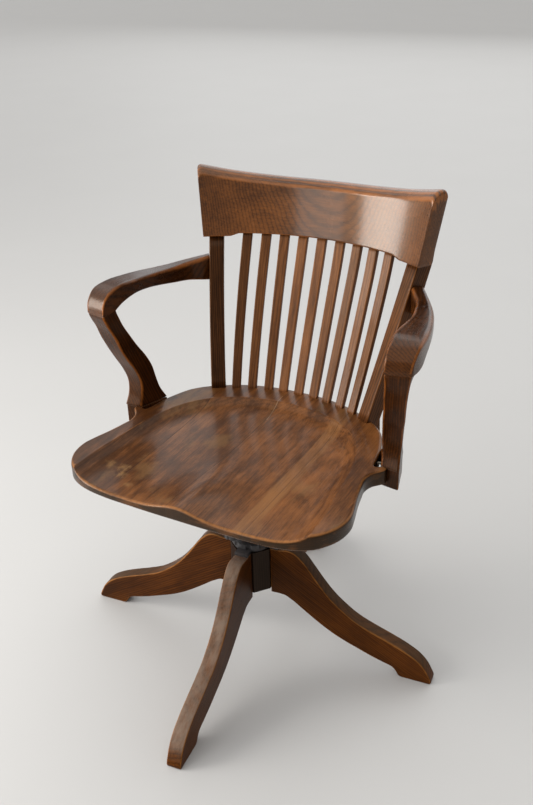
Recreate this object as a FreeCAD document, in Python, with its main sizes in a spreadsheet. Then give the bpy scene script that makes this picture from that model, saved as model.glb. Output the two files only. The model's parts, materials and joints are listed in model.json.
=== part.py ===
import FreeCAD, Part
import Sketcher
import PartDesign
import os
import math

V = FreeCAD.Vector
Rot = FreeCAD.Rotation
doc = FreeCAD.newDocument("SwivelChair")

# ---------------------------------------------------------------- dimensions
# Millimetres, +Z up. The origin is on the floor on the swivel axis and the
# chair faces -Y, so the sitter's left arm is on +X.
DIMS = [
    ("seat_top", 460.0), ("seat_edge_base", 431.0), ("seat_bottom", 420.0), ("saddle_depth", 15.0),
    ("joint_left", -148.0), ("joint_mid", -19.0), ("joint_right", 123.0), ("board_span", 560.0),
    ("back_radius_low", 300.0), ("back_radius_high", 427.0), ("back_centre_low", -104.0),
    ("back_centre_high", -122.0), ("rail_bottom", 743.0), ("rail_top_mid", 852.0), ("rail_top_rise", 26.0),
    ("rail_flare", 0.264), ("rail_half_angle", 32.3), ("rail_front_offset", -10.0), ("rail_rear_offset", 21.0),
    ("slat_width_low", 18.0), ("slat_width_high", 19.5), ("slat_thick", 10.0), ("slat_tenon", 15.0),
    ("post_width", 29.0), ("post_depth", 38.0), ("post_foot_angle", 31.4), ("post_head_angle", 28.7),
    ("post_tail_rebate", 8.0), ("post_top", 861.0),
    ("hub_apothem", 40.5), ("hub_base", 141.0), ("hub_top", 234.5), ("hub_hole_radius", 20.0),
    ("base_angle", 5.8), ("leg_thick", 28.0), ("leg_reach", 365.6),
    ("dowel_radius", 6.0), ("dowel_length", 50.0), ("dowel_low", 156.0), ("dowel_high", 206.0),
    ("bush_flange_radius", 38.5), ("bush_arm", 56.0), ("bush_arm_width", 26.0), ("bush_flange_thick", 7.0), ("bush_base", 150.0), ("bush_bore", 14.05),
    ("spindle_radius", 14.0), ("spindle_base", 145.0), ("spindle_shoulder", 288.0), ("journal_radius", 11.0),
    ("spindle_top", 371.5), ("key_width", 6.0), ("key_inner", 11.2), ("key_outer", 17.0),
    ("key_base", 160.0), ("key_length", 40.0),
    ("nut_base", 241.7), ("nut_wheel_radius", 42.0), ("nut_wheel_thick", 9.0), ("nut_boss_radius", 24.0),
    ("nut_height", 21.0), ("washer_radius", 22.0), ("washer_thick", 2.0),
    ("head_base", 290.0), ("head_boss_radius", 26.0), ("head_bore", 11.05), ("plate_base", 353.0),
    ("plate_thick", 8.0), ("cheek_inner", 34.0), ("cheek_thick", 8.0), ("cheek_width", 30.0),
    ("pivot_height", 382.0), ("pivot_radius", 7.0), ("pivot_half", 47.0), ("lug_inner", 24.0),
    ("lug_thick", 9.0), ("lug_radius", 11.5), ("lug_bore", 7.05), ("top_nut_flat", 17.0), ("top_nut_thick", 9.5),
    ("iron_thick", 5.5), ("rod_offset", -70.0), ("rod_pin_height", 374.64), ("rod_radius", 5.0),
    ("rod_eye_radius", 9.0), ("rod_eye_thick", 11.6), ("rod_pin_radius", 3.5), ("rod_base", 291.0),
    ("spring_radius", 15.0), ("spring_wire", 2.0), ("spring_base", 309.0), ("spring_height", 44.0),
    ("cup_radius", 19.0), ("cup_thick", 4.0), ("knob_radius", 17.0), ("knob_height", 14.0),
]
sheet = doc.addObject("Spreadsheet::Sheet", "Dimensions")
DIM = {}
for row, (name, value) in enumerate(DIMS, start=1):
    sheet.set("A%d" % row, name)
    sheet.set("B%d" % row, repr(value))
    sheet.setAlias("B%d" % row, name)
    DIM[name] = value
doc.recompute()


def dim(name):
    return float(sheet.get(name))


NODES = []


def bind(obj, **expr):
    for prop, e in expr.items():
        obj.setExpression(prop.replace("__", "."), e)
    return obj


def keep(obj, label):
    obj.Label = label
    NODES.append(obj)
    return obj


def box(name, lx, ly, lz, x, y, z):
    b = doc.addObject("Part::Box", name)
    bind(b, Length=lx, Width=ly, Height=lz)
    bind(b, Placement__Base__x=x, Placement__Base__y=y, Placement__Base__z=z)
    return b


def cyl(name, r, height, x="0 mm", y="0 mm", z="0 mm", axis=None):
    c = doc.addObject("Part::Cylinder", name)
    bind(c, Radius=r, Height=height)
    if axis is not None:
        c.Placement = FreeCAD.Placement(V(0, 0, 0), Rot(V(0, 0, 1), axis))
    bind(c, Placement__Base__x=x, Placement__Base__y=y, Placement__Base__z=z)
    return c


def cut(name, base, tool):
    c = doc.addObject("Part::Cut", name)
    c.Base = base
    c.Tool = tool
    return c


def fuse(name, shapes):
    f = doc.addObject("Part::MultiFuse", name)
    f.Shapes = shapes
    return f


def common(name, a, b):
    c = doc.addObject("Part::Common", name)
    c.Base = a
    c.Tool = b
    return c


def feature(name, shape):
    f = doc.addObject("Part::Feature", name)
    f.Shape = shape
    return f


def S(alias):
    return "Dimensions.%s * 1 mm" % alias


def origin_plane(body, role):
    for o in body.Origin.OriginFeatures:
        if o.Role == role:
            return o
    raise RuntimeError(role)


def polygon(points):
    pts = [V(*p) for p in points]
    return Part.makePolygon(pts + [pts[0]])


def loft(sections, ruled=False):
    solid = Part.makeLoft([polygon(s) for s in sections], True, ruled)
    if solid.Volume < 0:
        solid.reverse()
    return solid


def mirror_x(shape):
    return shape.mirror(V(0, 0, 0), V(1, 0, 0))


# ------------------------------------------------------------- back geometry
# The back is a leaning, hollow surface: a horizontal arc at every height,
# wider and further back the higher it is. Behind the crest rail it stands
# more upright.
Z0, Z1 = dim("seat_top"), 742.0


def back_radius(z):
    slope = (dim("back_radius_high") - dim("back_radius_low")) / (Z1 - Z0)
    knee = dim("rail_bottom")
    return dim("back_radius_low") + (min(z, knee) - Z0) * slope + max(z - knee, 0.0) * dim("rail_flare")


def back_centre(z):
    return dim("back_centre_low") + (z - Z0) * (dim("back_centre_high") - dim("back_centre_low")) / (Z1 - Z0)


def on_back(angle, z, depth, across=0.0):
    a = math.radians(angle)
    r = back_radius(z) + depth
    return (r * math.sin(a) + across * math.cos(a), back_centre(z) + r * math.cos(a) - across * math.sin(a), z)


def back_section(angle, z, front, rear, width):
    return [on_back(angle, z, front, -width / 2), on_back(angle, z, front, width / 2),
            on_back(angle, z, rear, width / 2), on_back(angle, z, rear, -width / 2)]


# Posts: one length from below the seat's edge to just under the rail's top.
# The foot is rebated over the seat's edge and the head is halved behind the rail.
def post_angle(z):
    return dim("post_foot_angle") + (z - Z0) * (dim("post_head_angle") - dim("post_foot_angle")) / (Z1 - Z0)


def make_post():
    w, d, rb = dim("post_width"), dim("post_depth"), dim("post_tail_rebate")
    zb, zs, zr, zt = dim("seat_bottom"), dim("seat_top"), dim("rail_bottom"), dim("post_top")
    rear = dim("rail_rear_offset")
    tail = loft([back_section(post_angle(zs), z, rb + (z - zs) * -0.45, d - 4 + (z - zs) * -0.45, w)
                 for z in (zb, zs)], True)
    body = loft([back_section(post_angle(zs), zs, 0, d - 4, w), back_section(post_angle(600), 600, 0, d, w),
                 back_section(post_angle(zr), zr, 0, d, w)], True)
    head = loft([back_section(post_angle(zr), zr, rear, d, w), back_section(post_angle(zt - 14), zt - 14, rear, d, w),
                 back_section(post_angle(zt), zt, rear, d - 9, w - 6)], True)
    return tail.fuse(body).fuse(head).removeSplitter()


# Slats: flat strips that taper a little, with a thinner tenon at each end.
SLAT_FOOT = [-24.6, -18.5, -12.1, -6.3, 0.0, 6.3, 12.1, 18.5, 24.6]
SLAT_HEAD = [-20.42, -15.35, -10.39, -5.24, 0.0, 5.24, 10.39, 15.35, 20.42]


def slat_angle(i, z):
    return SLAT_FOOT[i] + (z - Z0) * (SLAT_HEAD[i] - SLAT_FOOT[i]) / (Z1 - Z0)


def make_slat(i):
    zs, zr, t = dim("seat_top"), dim("rail_bottom"), dim("slat_thick")
    lo, hi, tn = dim("slat_width_low"), dim("slat_width_high"), dim("slat_tenon")
    blade = loft([back_section(slat_angle(i, zs), zs, 0, t, lo), back_section(slat_angle(i, zr), zr, 0, t, hi)], True)
    foot = loft([back_section(slat_angle(i, zs), zs - tn, 2 - 0.45 * tn, t - 2 - 0.45 * tn, lo - 5),
                 back_section(slat_angle(i, zs), zs, 2, t - 2, lo - 5)], True)
    head = loft([back_section(slat_angle(i, zr), zr, 2, t - 2, hi - 5),
                 back_section(slat_angle(i, zr), zr + tn, 2, t - 2, hi - 5)], True)
    return blade.fuse(foot).fuse(head).removeSplitter(), foot, head


# Crest rail: the same section carried round the back's arc; the top edge
# rises to both ends and is bevelled to the front.
def rail_section(angle):
    s = abs(angle) / dim("rail_half_angle")
    zb = dim("rail_bottom")
    zt = dim("rail_top_mid") + dim("rail_top_rise") * s ** 2.6
    zc = zt - (14.0 + 6.0 * s * s)
    f, r = dim("rail_front_offset"), dim("rail_rear_offset")
    return [on_back(angle, zb, f), on_back(angle, zc, f), on_back(angle, zt - 4.5, f + 6.5),
            on_back(angle, zt, f + 15.0), on_back(angle, zt, r - 6.0), on_back(angle, zt - 5.0, r),
            on_back(angle, zb, r)]


def make_rail():
    h = dim("rail_half_angle")
    return loft([rail_section(a) for a in [-h, -h * 0.75, -h * 0.5, -h * 0.25, 0.0, h * 0.25, h * 0.5, h * 0.75, h]])


posts = {"right": make_post()}
posts["left"] = mirror_x(posts["right"])
slats, slat_feet, slat_heads = [], [], []
for i in range(9):
    whole, foot, head = make_slat(i)
    slats.append(whole)
    slat_feet.append(foot)
    slat_heads.append(head)
rail = make_rail()
for tool in slat_heads + [posts["left"], posts["right"]]:
    rail = rail.cut(tool)

# ------------------------------------------------------------------- the arms
# Arm rest: outer and inner top edges from the post to the nose, with the
# height of the underside at each of them.
REST = [
    ((222, 266, 704), (205, 243, 706), 655), ((235, 246, 703), (218, 223, 705), 657), ((254, 212, 703), (237, 191, 700), 664),
    ((273, 178, 701), (247, 156, 700), 669), ((288, 143, 702), (255, 120, 702), 675),
    ((300, 106, 705), (258, 83, 706), 681), ((310, 69, 707), (260, 46, 710), 683),
    ((316, 31, 708), (265, 9, 712), 675), ((317.5, 12, 706.5), (268, -7, 707), 666),
    ((317, -6, 701), (270, -23, 698), 664), ((315, -22, 686), (271.5, -33, 682), 664),
    ((314, -31, 669), (272, -38, 667), 664),
]
# Arm upright: inner-front, outer-front, outer-rear and inner-rear corners by height.
UPRIGHT = [
    (664, (272, -38), (314, -31), (303.5, 2), (261.5, -5)),
    (641, (270, -31), (310, -23), (300, 8), (260, 0)),
    (614, (265, -19), (305, -16), (295, 16), (255, 12)),
    (588, (262, -10), (300, -6), (288.5, 30), (250.5, 26)),
    (562, (257, 1), (295, 6), (282, 45), (244, 41)),
    (537, (252, 14), (289, 17), (277, 56), (240, 52)),
    (510, (249, 22), (285, 25), (273.5, 62), (237.5, 58)),
    (483, (250, 22), (284, 22), (270, 69), (235, 66)),
    (460, (251, 17), (286, 12), (268, 79), (230, 77)),
]
TONGUE = [(251, 21), (284.5, 17), (268.5, 73), (226, 72)]


def make_rest():
    secs = []
    for o, i, zb in REST:
        secs.append([o, i, (i[0], i[1], zb), (o[0], o[1], zb)])
    return loft(secs)


def make_upright():
    # the stick is smooth from the arm rest down to its waist, then flares to the foot
    stick = loft([[(p[0], p[1], z) for p in pts] for z, *pts in UPRIGHT])
    zb = dim("seat_bottom")
    tongue = loft([[(p[0], p[1], z) for p in TONGUE] for z in (zb, dim("seat_top"))], True)
    return stick.fuse(tongue).removeSplitter()


rest = {"right": make_rest().cut(posts["right"])}
upright = {"right": make_upright()}
rest["right"] = rest["right"].cut(upright["right"])
rest["left"] = mirror_x(rest["right"])
upright["left"] = mirror_x(upright["right"])

# ------------------------------------------------------------------ the seat
OUTLINE = [
    (0, 210), (43, 208.5), (74, 203.5), (104, 195.5), (132, 184), (152, 173), (175, 158), (195, 141), (209, 123), (220, 98),
    (230, 67), (235, 40), (237, 19),
]
EAR = [(239, 11), (247, 13), (252, 21), (262, 20.5), (262, 7)]
FRONT = [
    (258, 4), (247, -11), (242, -31), (245, -50), (252, -83), (261, -115), (266.5, -142), (264, -167),
    (256, -188), (238, -212), (216, -226), (187, -235), (150, -240), (100, -242), (50, -243), (0, -243),
]
RIM = [(229, -300), (228, -213), (225, -137), (218, -83), (210, -20), (198, 30), (176, 75), (146, 108), (100, 135),
       (50, 149), (0, 155)]


def rim_distance(x, y):
    # distance inside the rim line, negative outside it
    x = abs(x)
    pts = RIM + [(-50, 149)]
    best, inside = 1e9, True
    for (ax, ay), (bx, by) in zip(pts[:-1], pts[1:]):
        dx, dy = bx - ax, by - ay
        t = max(0.0, min(1.0, ((x - ax) * dx + (y - ay) * dy) / (dx * dx + dy * dy)))
        ex, ey = x - ax - t * dx, y - ay - t * dy
        d = math.hypot(ex, ey)
        if d < best:
            best = d
            inside = dx * (y - ay) - dy * (x - ax) > 0
    return best if inside else -best


def saddle(x, y):
    # two hollows side by side that run out at the front, with a low ridge between
    s = rim_distance(x, y)
    if s <= 0:
        # the cutting surface climbs clear of the seat's top outside the rim
        return max(-3.0, 0.30 * s)
    dish = dim("saddle_depth") * (1.0 - math.exp(-s / 34.0))
    ahead = max(0.0, min(1.0, (-y - 20.0) / 200.0))
    ridge = 0.72 * ahead * math.exp(-(x / 42.0) ** 2)
    return dish * (1.0 - ridge)


def spline_wire(z, scale=None):
    pts = [V(x, y, 0) for x, y in OUTLINE]
    left = [V(-x, y, 0) for x, y in OUTLINE[1:]][::-1]
    back = Part.BSplineCurve()
    back.interpolate(left + pts)
    ear = [V(*OUTLINE[-1], 0)] + [V(x, y, 0) for x, y in EAR]
    front_pts = [V(*EAR[-1], 0)] + [V(x, y, 0) for x, y in FRONT]
    front = Part.BSplineCurve()
    front.interpolate(front_pts + [V(-p.x, p.y, 0) for p in front_pts[:-1]][::-1])
    edges = [back.toShape()]
    edges += [Part.makeLine(a, b) for a, b in zip(ear[:-1], ear[1:])]
    edges += [front.toShape()]
    mear = [V(-p.x, p.y, 0) for p in ear]
    edges += [Part.makeLine(a, b) for a, b in zip(mear[:-1], mear[1:])]
    wire = Part.Wire(Part.__sortEdges__(edges))
    wire.translate(V(0, 0, z))
    return wire


edge_base, top, bottom = dim("seat_edge_base"), dim("seat_top"), dim("seat_bottom")
slab = Part.Face(spline_wire(edge_base)).extrude(V(0, 0, top - edge_base))


def under_ring(inset, z):
    # a plain rounded outline for the thicker middle of the underside
    pts = [(0, 206 - inset), (80, 199 - inset), (150, 168 - inset), (200, 120 - inset), (226 - inset * 0.6, 60), (232 - inset, -20),
           (250 - inset, -110), (254 - inset, -160), (226 - inset * 0.8, -214 + inset * 0.6), (120, -238 + inset), (0, -240 + inset)]
    loop = [V(x, y, z) for x, y in pts] + [V(-x, y, z) for x, y in pts[1:-1]][::-1]
    c = Part.BSplineCurve()
    c.interpolate(Points=loop, PeriodicFlag=True)
    return Part.Wire([c.toShape()])


under = Part.makeLoft([under_ring(2.0, edge_base), under_ring(24.0, bottom)], True, True)
blank = slab.fuse(under).removeSplitter()
grid = []
for iy in range(34):
    y = -262.0 + iy * 500.0 / 33
    grid.append([V(-290.0 + ix * 580.0 / 38, y, top - saddle(-290.0 + ix * 580.0 / 38, y)) for ix in range(39)])
surf = Part.BSplineSurface()
surf.interpolate(grid)
blank = blank.cut(surf.toShape().extrude(V(0, 0, 60)))
for tool in slat_feet + [posts["left"], posts["right"], upright["left"], upright["right"]]:
    blank = blank.cut(tool)
if blank.ShapeType == "Compound" or len(blank.Solids) > 1:
    blank = max(blank.Solids, key=lambda s: s.Volume)
seat_blank = feature("seat_blank", blank)

BOARDS = [("seat_board_right", "-Dimensions.board_span * 0.5 mm", "(Dimensions.joint_left + Dimensions.board_span * 0.5) * 1 mm"),
          ("seat_board_mid_right", "Dimensions.joint_left * 1 mm", "(Dimensions.joint_mid - Dimensions.joint_left) * 1 mm"),
          ("seat_board_mid_left", "Dimensions.joint_mid * 1 mm", "(Dimensions.joint_right - Dimensions.joint_mid) * 1 mm"),
          ("seat_board_left", "Dimensions.joint_right * 1 mm", "(Dimensions.board_span * 0.5 - Dimensions.joint_right) * 1 mm")]

# ------------------------------------------------- seat screws and seat iron
AXIS_X, AXIS_Y = V(1, 0, 0), V(0, 1, 0)


def screw(p, direction, length, r=2.6, head=5.0):
    # countersunk wood screw: the head's face is at p and the shank runs along direction
    d = V(*direction)
    d.normalize()
    cone = Part.makeCone(head, r, 3.2, V(*p), d)
    shank = Part.makeCylinder(r, length - 3.2, V(*p) + d * 3.2, d)
    return cone.fuse(shank)


iron_top = bottom
iron_under = bottom - dim("iron_thick")
IRON_HOLES = [(-62, -118), (62, -118), (-84, 0), (84, 0), (-62, 92), (62, 92)]
iron_screws = [screw((x, y, iron_under), (0, 0, 1), 22.0) for x, y in IRON_HOLES]


def make_seat_iron():
    t = dim("iron_thick")
    # a flat cross-shaped plate: a long spine with three cross arms
    spine = Part.makeBox(76, 250, t, V(-38, -134, iron_under))
    arms = [Part.makeBox(2 * abs(x) + 28, 28, t, V(-abs(x) - 14, y - 14, iron_under)) for x, y in IRON_HOLES[::2]]
    plate = spine
    for a in arms:
        plate = plate.fuse(a)
    # windows that lighten the spine
    for y0, y1 in ((-52, -18), (20, 74)):
        plate = plate.cut(Part.makeBox(34, y1 - y0, t, V(-17, y0, iron_under)))
    plate = plate.removeSplitter()
    zp, lr, li, lt = dim("pivot_height"), dim("lug_radius"), dim("lug_inner"), dim("lug_thick")
    for sgn in (-1, 1):
        x0 = li if sgn > 0 else -li - lt
        lug = Part.makeCylinder(lr, lt, V(x0, 0, zp), AXIS_X).fuse(Part.makeBox(lt, 2 * lr, iron_under - zp, V(x0, -lr, zp)))
        plate = plate.fuse(lug)
    # forked lug for the tension rod
    ry, rz, et = dim("rod_offset"), dim("rod_pin_height"), dim("rod_eye_thick")
    for sgn in (-1, 1):
        x0 = et / 2 + 0.3 if sgn > 0 else -et / 2 - 0.3 - 6
        lug = Part.makeCylinder(9.0, 6, V(x0, ry, rz), AXIS_X).fuse(Part.makeBox(6, 18, iron_under - rz, V(x0, ry - 9, rz)))
        plate = plate.fuse(lug)
    plate = plate.cut(Part.makeCylinder(dim("lug_bore"), 2 * (li + lt) + 2, V(-li - lt - 1, 0, zp), AXIS_X))
    plate = plate.cut(Part.makeCylinder(dim("rod_pin_radius"), 40, V(-20, ry, rz), AXIS_X))
    for s in iron_screws:
        plate = plate.cut(s)
    return plate.removeSplitter()


def group(shapes):
    return Part.makeCompound(shapes)


# Screws through the arm tongues, the post tails and the rail into the posts
arm_screws = [screw((sg * 268.0, y, z), (-sg, -0.30, 0), 50.0) for sg in (1, -1) for y, z in ((55.0, 448.0), (62.0, 434.0))]


def arm_screw_set():
    out = []
    for sg in (1, -1):
        for y, z in ((54.0, 449.0), (62.0, 433.0)):
            # start flush on the tongue's outer face
            x = 284.5 + (y - 17.0) * (268.5 - 284.5) / (73.0 - 17.0)
            out.append(screw((sg * (x - 0.05), y, z), (-sg * 0.962, -0.275, 0), 52.0))
    return out


def post_screw_set():
    out = []
    for sg in (1, -1):
        for z in (450.0, 432.0):
            a = sg * post_angle(Z0)
            p = on_back(a, z, dim("post_depth") - 4 + (z - Z0) * -0.45 - 0.05 + (z - Z0) * -(127.0 / 282.0) + (z - Z0) * (127.0 / 282.0))
            n = (-math.sin(math.radians(a)), -math.cos(math.radians(a)), 0)
            out.append(screw(p, n, 56.0))
    return out


def rail_screw_set():
    out = []
    for sg in (1, -1):
        for z in (768.0, 828.0):
            a = sg * post_angle(z)
            p = on_back(a, z, dim("post_depth") - 0.05)
            n = (-math.sin(math.radians(a)), -math.cos(math.radians(a)), 0)
            out.append(screw(p, n, 38.0))
    return out


def arm_dowel_set():
    out = []
    for sg in (1, -1):
        for x, y in ((285.0, -22.0), (290.0, -6.0)):
            out.append(Part.makeCylinder(dim("dowel_radius") - 1.0, 42.0, V(sg * x, y, 640.0)))
    return out


def post_dowel_set():
    out = []
    for sg in (1, -1):
        # along the arm, through the post's outer face
        d = V(-0.80, 0.60, 0)
        d = V(sg * d.x, d.y, 0)
        p = V(sg * 243.0, 217.0, 681.0)
        out.append(Part.makeCylinder(dim("dowel_radius") - 1.0, 50.0, p, d))
    return out


arm_screws = arm_screw_set()
post_screws = post_screw_set()
rail_screws = rail_screw_set()
arm_dowels = arm_dowel_set()
post_dowels = post_dowel_set()


def less(shape, tools):
    for t in tools:
        if shape.BoundBox.intersect(t.BoundBox):
            shape = shape.cut(t)
    if len(shape.Solids) > 1:
        shape = max(shape.Solids, key=lambda s: s.Volume)
    elif shape.ShapeType == "Compound":
        shape = shape.Solids[0]
    return shape


seat_blank.Shape = less(blank, iron_screws + arm_screws + post_screws)
for label, x, width in BOARDS:
    b = box(label + "_span", width, S("board_span"), "60 mm", x, "-Dimensions.board_span * 0.5 mm", "405 mm")
    keep(common(label + "_common", seat_blank, b), label)

for side in ("left", "right"):
    keep(feature("post_" + side + "_shape", less(posts[side], post_screws + rail_screws + post_dowels)),
         "back_post_" + ("left" if side == "right" else "right"))
for i in range(9):
    keep(feature("slat_shape_%d" % (i + 1), slats[i]), "slat_%d" % (i + 1))
keep(feature("rail_shape", less(rail, rail_screws)), "crest_rail")
for side in ("left", "right"):
    name = "left" if side == "right" else "right"
    keep(feature("rest_" + side, less(rest[side], arm_dowels + post_dowels)), "arm_rest_" + name)
    keep(feature("upright_" + side, less(upright[side], arm_screws + arm_dowels)), "arm_upright_" + name)
keep(feature("arm_dowel_shape", group(arm_dowels)), "arm_dowels")
keep(feature("post_dowel_shape", group(post_dowels)), "arm_to_post_dowels")
keep(feature("arm_screw_shape", group(arm_screws)), "arm_screws")
keep(feature("post_screw_shape", group(post_screws)), "post_screws")
keep(feature("rail_screw_shape", group(rail_screws)), "rail_screws")
keep(feature("seat_iron_shape", make_seat_iron()), "seat_iron")
keep(feature("seat_iron_screw_shape", group(iron_screws)), "seat_iron_screws")

# ------------------------------------------------------------------ the base
hub_prism = doc.addObject("Part::Prism", "hub_prism")
hub_prism.Polygon = 8
bind(hub_prism, Circumradius="Dimensions.hub_apothem / cos(22.5 deg) * 1 mm",
     Height="(Dimensions.hub_top - Dimensions.hub_base) * 1 mm", Placement__Base__z=S("hub_base"),
     Placement__Rotation__Angle="(22.5 + Dimensions.base_angle) * 1 deg")
hub_hole = cyl("hub_hole", S("hub_hole_radius"), "150 mm", z="110 mm")
leg_dowels = []
for k in range(4):
    a = math.radians(dim("base_angle") + 90.0 * k)
    u = V(math.cos(a), math.sin(a), 0)
    for z in (dim("dowel_low"), dim("dowel_high")):
        leg_dowels.append(Part.makeCylinder(dim("dowel_radius"), dim("dowel_length"), u * 22.5 + V(0, 0, z), u))
dowel_group = keep(feature("leg_dowel_shape", group(leg_dowels)), "leg_dowels")
hub_bored = cut("hub_bored", hub_prism, hub_hole)
FLANGE_SCREWS = [dim("base_angle") + 45.0 + 90.0 * k for k in range(4)]


def flange_screw(deg):
    a = math.radians(deg)
    return screw((30.0 * math.cos(a), 30.0 * math.sin(a), dim("hub_top") + dim("bush_flange_thick")), (0, 0, -1), 30.0, 2.4, 4.6)


flange_screws = [flange_screw(d) for d in FLANGE_SCREWS]
screw_group = keep(feature("bush_screw_shape", group(flange_screws)), "bush_screws")
hub_less_dowels = cut("hub_less_dowels", hub_bored, dowel_group)
keep(cut("hub_less_screws", hub_less_dowels, screw_group), "hub")

LEG_TOP = [(57, 234.5), (66, 236.3), (76, 238), (88, 236), (105, 222), (122, 200), (142, 172), (165, 144.5), (190, 122.5),
           (214, 106), (245, 92), (280, 78.5), (315, 63), (337, 49)]
LEG_TOE = [(337, 49), (351, 34), (360, 17), (364.6, 6), (365.6, 0)]
LEG_HEEL = [(304, 0), (298.5, 3.5), (294.5, 10), (290, 18)]
LEG_UNDER = [(290, 18), (268, 25.5), (246, 32.5), (218, 43), (195, 52), (173, 62), (150, 75), (127, 90.5), (105, 106.5),
             (88, 119), (78, 125)]
LEG_STEP = [(78, 125), (71.5, 128.6), (63, 130)]


def make_leg(name, quarter):
    body = doc.addObject("PartDesign::Body", name + "_body")
    sk = body.newObject("Sketcher::SketchObject", name + "_profile")
    sk.AttachmentSupport = [(origin_plane(body, "XZ_Plane"), "")]
    sk.MapMode = "FlatFace"
    ap = dim("hub_apothem")

    def line(a, b):
        sk.addGeometry(Part.LineSegment(V(a[0], a[1], 0), V(b[0], b[1], 0)), False)

    def spline(pts):
        c = Part.BSplineCurve()
        c.interpolate([V(x, z, 0) for x, z in pts])
        sk.addGeometry(c, False)

    line((ap, 130.0), (ap, 234.5))
    line((ap, 234.5), (57, 234.5))
    spline(LEG_TOP)
    spline(LEG_TOE)
    line((365.6, 0), (304, 0))
    spline(LEG_HEEL)
    spline(LEG_UNDER)
    spline(LEG_STEP)
    line((63, 130.0), (ap, 130.0))
    pad = body.newObject("PartDesign::Pad", name + "_pad")
    pad.Profile = sk
    pad.Midplane = True
    pad.setExpression("Length", S("leg_thick"))
    body.Tip = pad
    body.Placement = FreeCAD.Placement(V(0, 0, 0), Rot(V(0, 0, 1), dim("base_angle") + 90.0 * quarter))
    body.setExpression("Placement.Rotation.Angle", "(Dimensions.base_angle + %g) * 1 deg" % (90.0 * quarter))
    return body


for name, quarter in (("leg_left", 0), ("leg_rear", 1), ("leg_right", 2), ("leg_front", 3)):
    body = make_leg(name, quarter)
    keep(cut(name + "_drilled", body, dowel_group), name)

# Iron bush with a round flange on the column's top and four arms over the legs
bush_sleeve = cyl("bush_sleeve", S("hub_hole_radius"), "(Dimensions.hub_top - Dimensions.bush_base) * 1 mm", z=S("bush_base"))
bush_flange = cyl("bush_flange", S("bush_flange_radius"), S("bush_flange_thick"), z=S("hub_top"))
bush_arms = []
for k in range(2):
    turn = "(Dimensions.base_angle + %g) * 1 deg" % (90.0 * k)
    arm_bar = doc.addObject("Part::Box", "bush_arm_%d" % (k + 1))
    bind(arm_bar, Length="Dimensions.bush_arm * 2 mm", Width=S("bush_arm_width"), Height=S("bush_flange_thick"),
         Placement__Base__x="(Dimensions.bush_arm_width * 0.5 * sin(%s) - Dimensions.bush_arm * cos(%s)) * 1 mm" % (turn, turn),
         Placement__Base__y="(-Dimensions.bush_arm * sin(%s) - Dimensions.bush_arm_width * 0.5 * cos(%s)) * 1 mm" % (turn, turn),
         Placement__Base__z=S("hub_top"), Placement__Rotation__Angle=turn)
    bush_arms.append(arm_bar)
bush_solid = fuse("bush_solid", [bush_sleeve, bush_flange] + bush_arms)
bush_hole = cyl("bush_hole", S("bush_bore"), "140 mm", z="130 mm")
bush_round = cut("bush_round", bush_solid, bush_hole)
key = box("key_box", "(Dimensions.key_outer - Dimensions.key_inner) * 1 mm", S("key_width"), S("key_length"),
          S("key_inner"), "-Dimensions.key_width * 0.5 mm", S("key_base"))
keep(key, "spindle_key")
bush_keyed = cut("bush_keyed", bush_round, key)
keep(cut("bush_screwed", bush_keyed, screw_group), "hub_bush")

# Spindle: a threaded rod with a keyway and a plain journal on top
rod_low = cyl("spindle_rod", S("spindle_radius"), "(Dimensions.spindle_shoulder - Dimensions.spindle_base) * 1 mm", z=S("spindle_base"))
rod_high = cyl("spindle_journal", S("journal_radius"), "(Dimensions.spindle_top - Dimensions.spindle_shoulder) * 1 mm",
               z=S("spindle_shoulder"))
spindle_solid = fuse("spindle_solid", [rod_low, rod_high])
groove = box("keyway", "20 mm", "(Dimensions.key_width + 0.6) * 1 mm", "135 mm", "(Dimensions.key_inner - 0.4) * 1 mm",
             "-(Dimensions.key_width + 0.6) * 0.5 mm", "(Dimensions.spindle_base - 1) * 1 mm")
keep(cut("spindle_grooved", spindle_solid, groove), "spindle")
washer = cyl("washer_disc", S("washer_radius"), S("washer_thick"), z=S("spindle_shoulder"))
washer_hole = cyl("washer_hole", S("journal_radius"), S("washer_thick"), z=S("spindle_shoulder"))
keep(cut("washer_ring", washer, washer_hole), "thrust_washer")
top_hex = doc.addObject("Part::Prism", "top_hex")
top_hex.Polygon = 6
bind(top_hex, Circumradius="Dimensions.top_nut_flat / cos(30 deg) * 1 mm", Height=S("top_nut_thick"),
     Placement__Base__z="(Dimensions.plate_base + Dimensions.plate_thick + 0.4) * 1 mm")
top_hex_hole = cyl("top_hex_hole", S("journal_radius"), "20 mm", z="(Dimensions.plate_base + Dimensions.plate_thick) * 1 mm")
keep(cut("top_hex_ring", top_hex, top_hex_hole), "spindle_top_nut")

# Height nut: a hand wheel with finger hollows round its rim
nut_wheel = cyl("nut_wheel", S("nut_wheel_radius"), S("nut_wheel_thick"), z=S("nut_base"))
nut_boss = cyl("nut_boss", S("nut_boss_radius"), S("nut_height"), z=S("nut_base"))
nut_solid = fuse("nut_solid", [nut_wheel, nut_boss])
nut_hole = cyl("nut_hole", S("bush_bore"), "60 mm", z="230 mm")
scallops = []
for k in range(10):
    a = math.radians(36.0 * k)
    scallops.append(cyl("nut_hollow_%d" % k, "7 mm", "40 mm", x="(Dimensions.nut_wheel_radius + 3.5) * %.6f mm" % math.cos(a),
                        y="(Dimensions.nut_wheel_radius + 3.5) * %.6f mm" % math.sin(a), z="235 mm"))
nut_cuts = fuse("nut_cuts", [nut_hole] + scallops)
keep(cut("nut_scalloped", nut_solid, nut_cuts), "height_nut")

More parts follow.
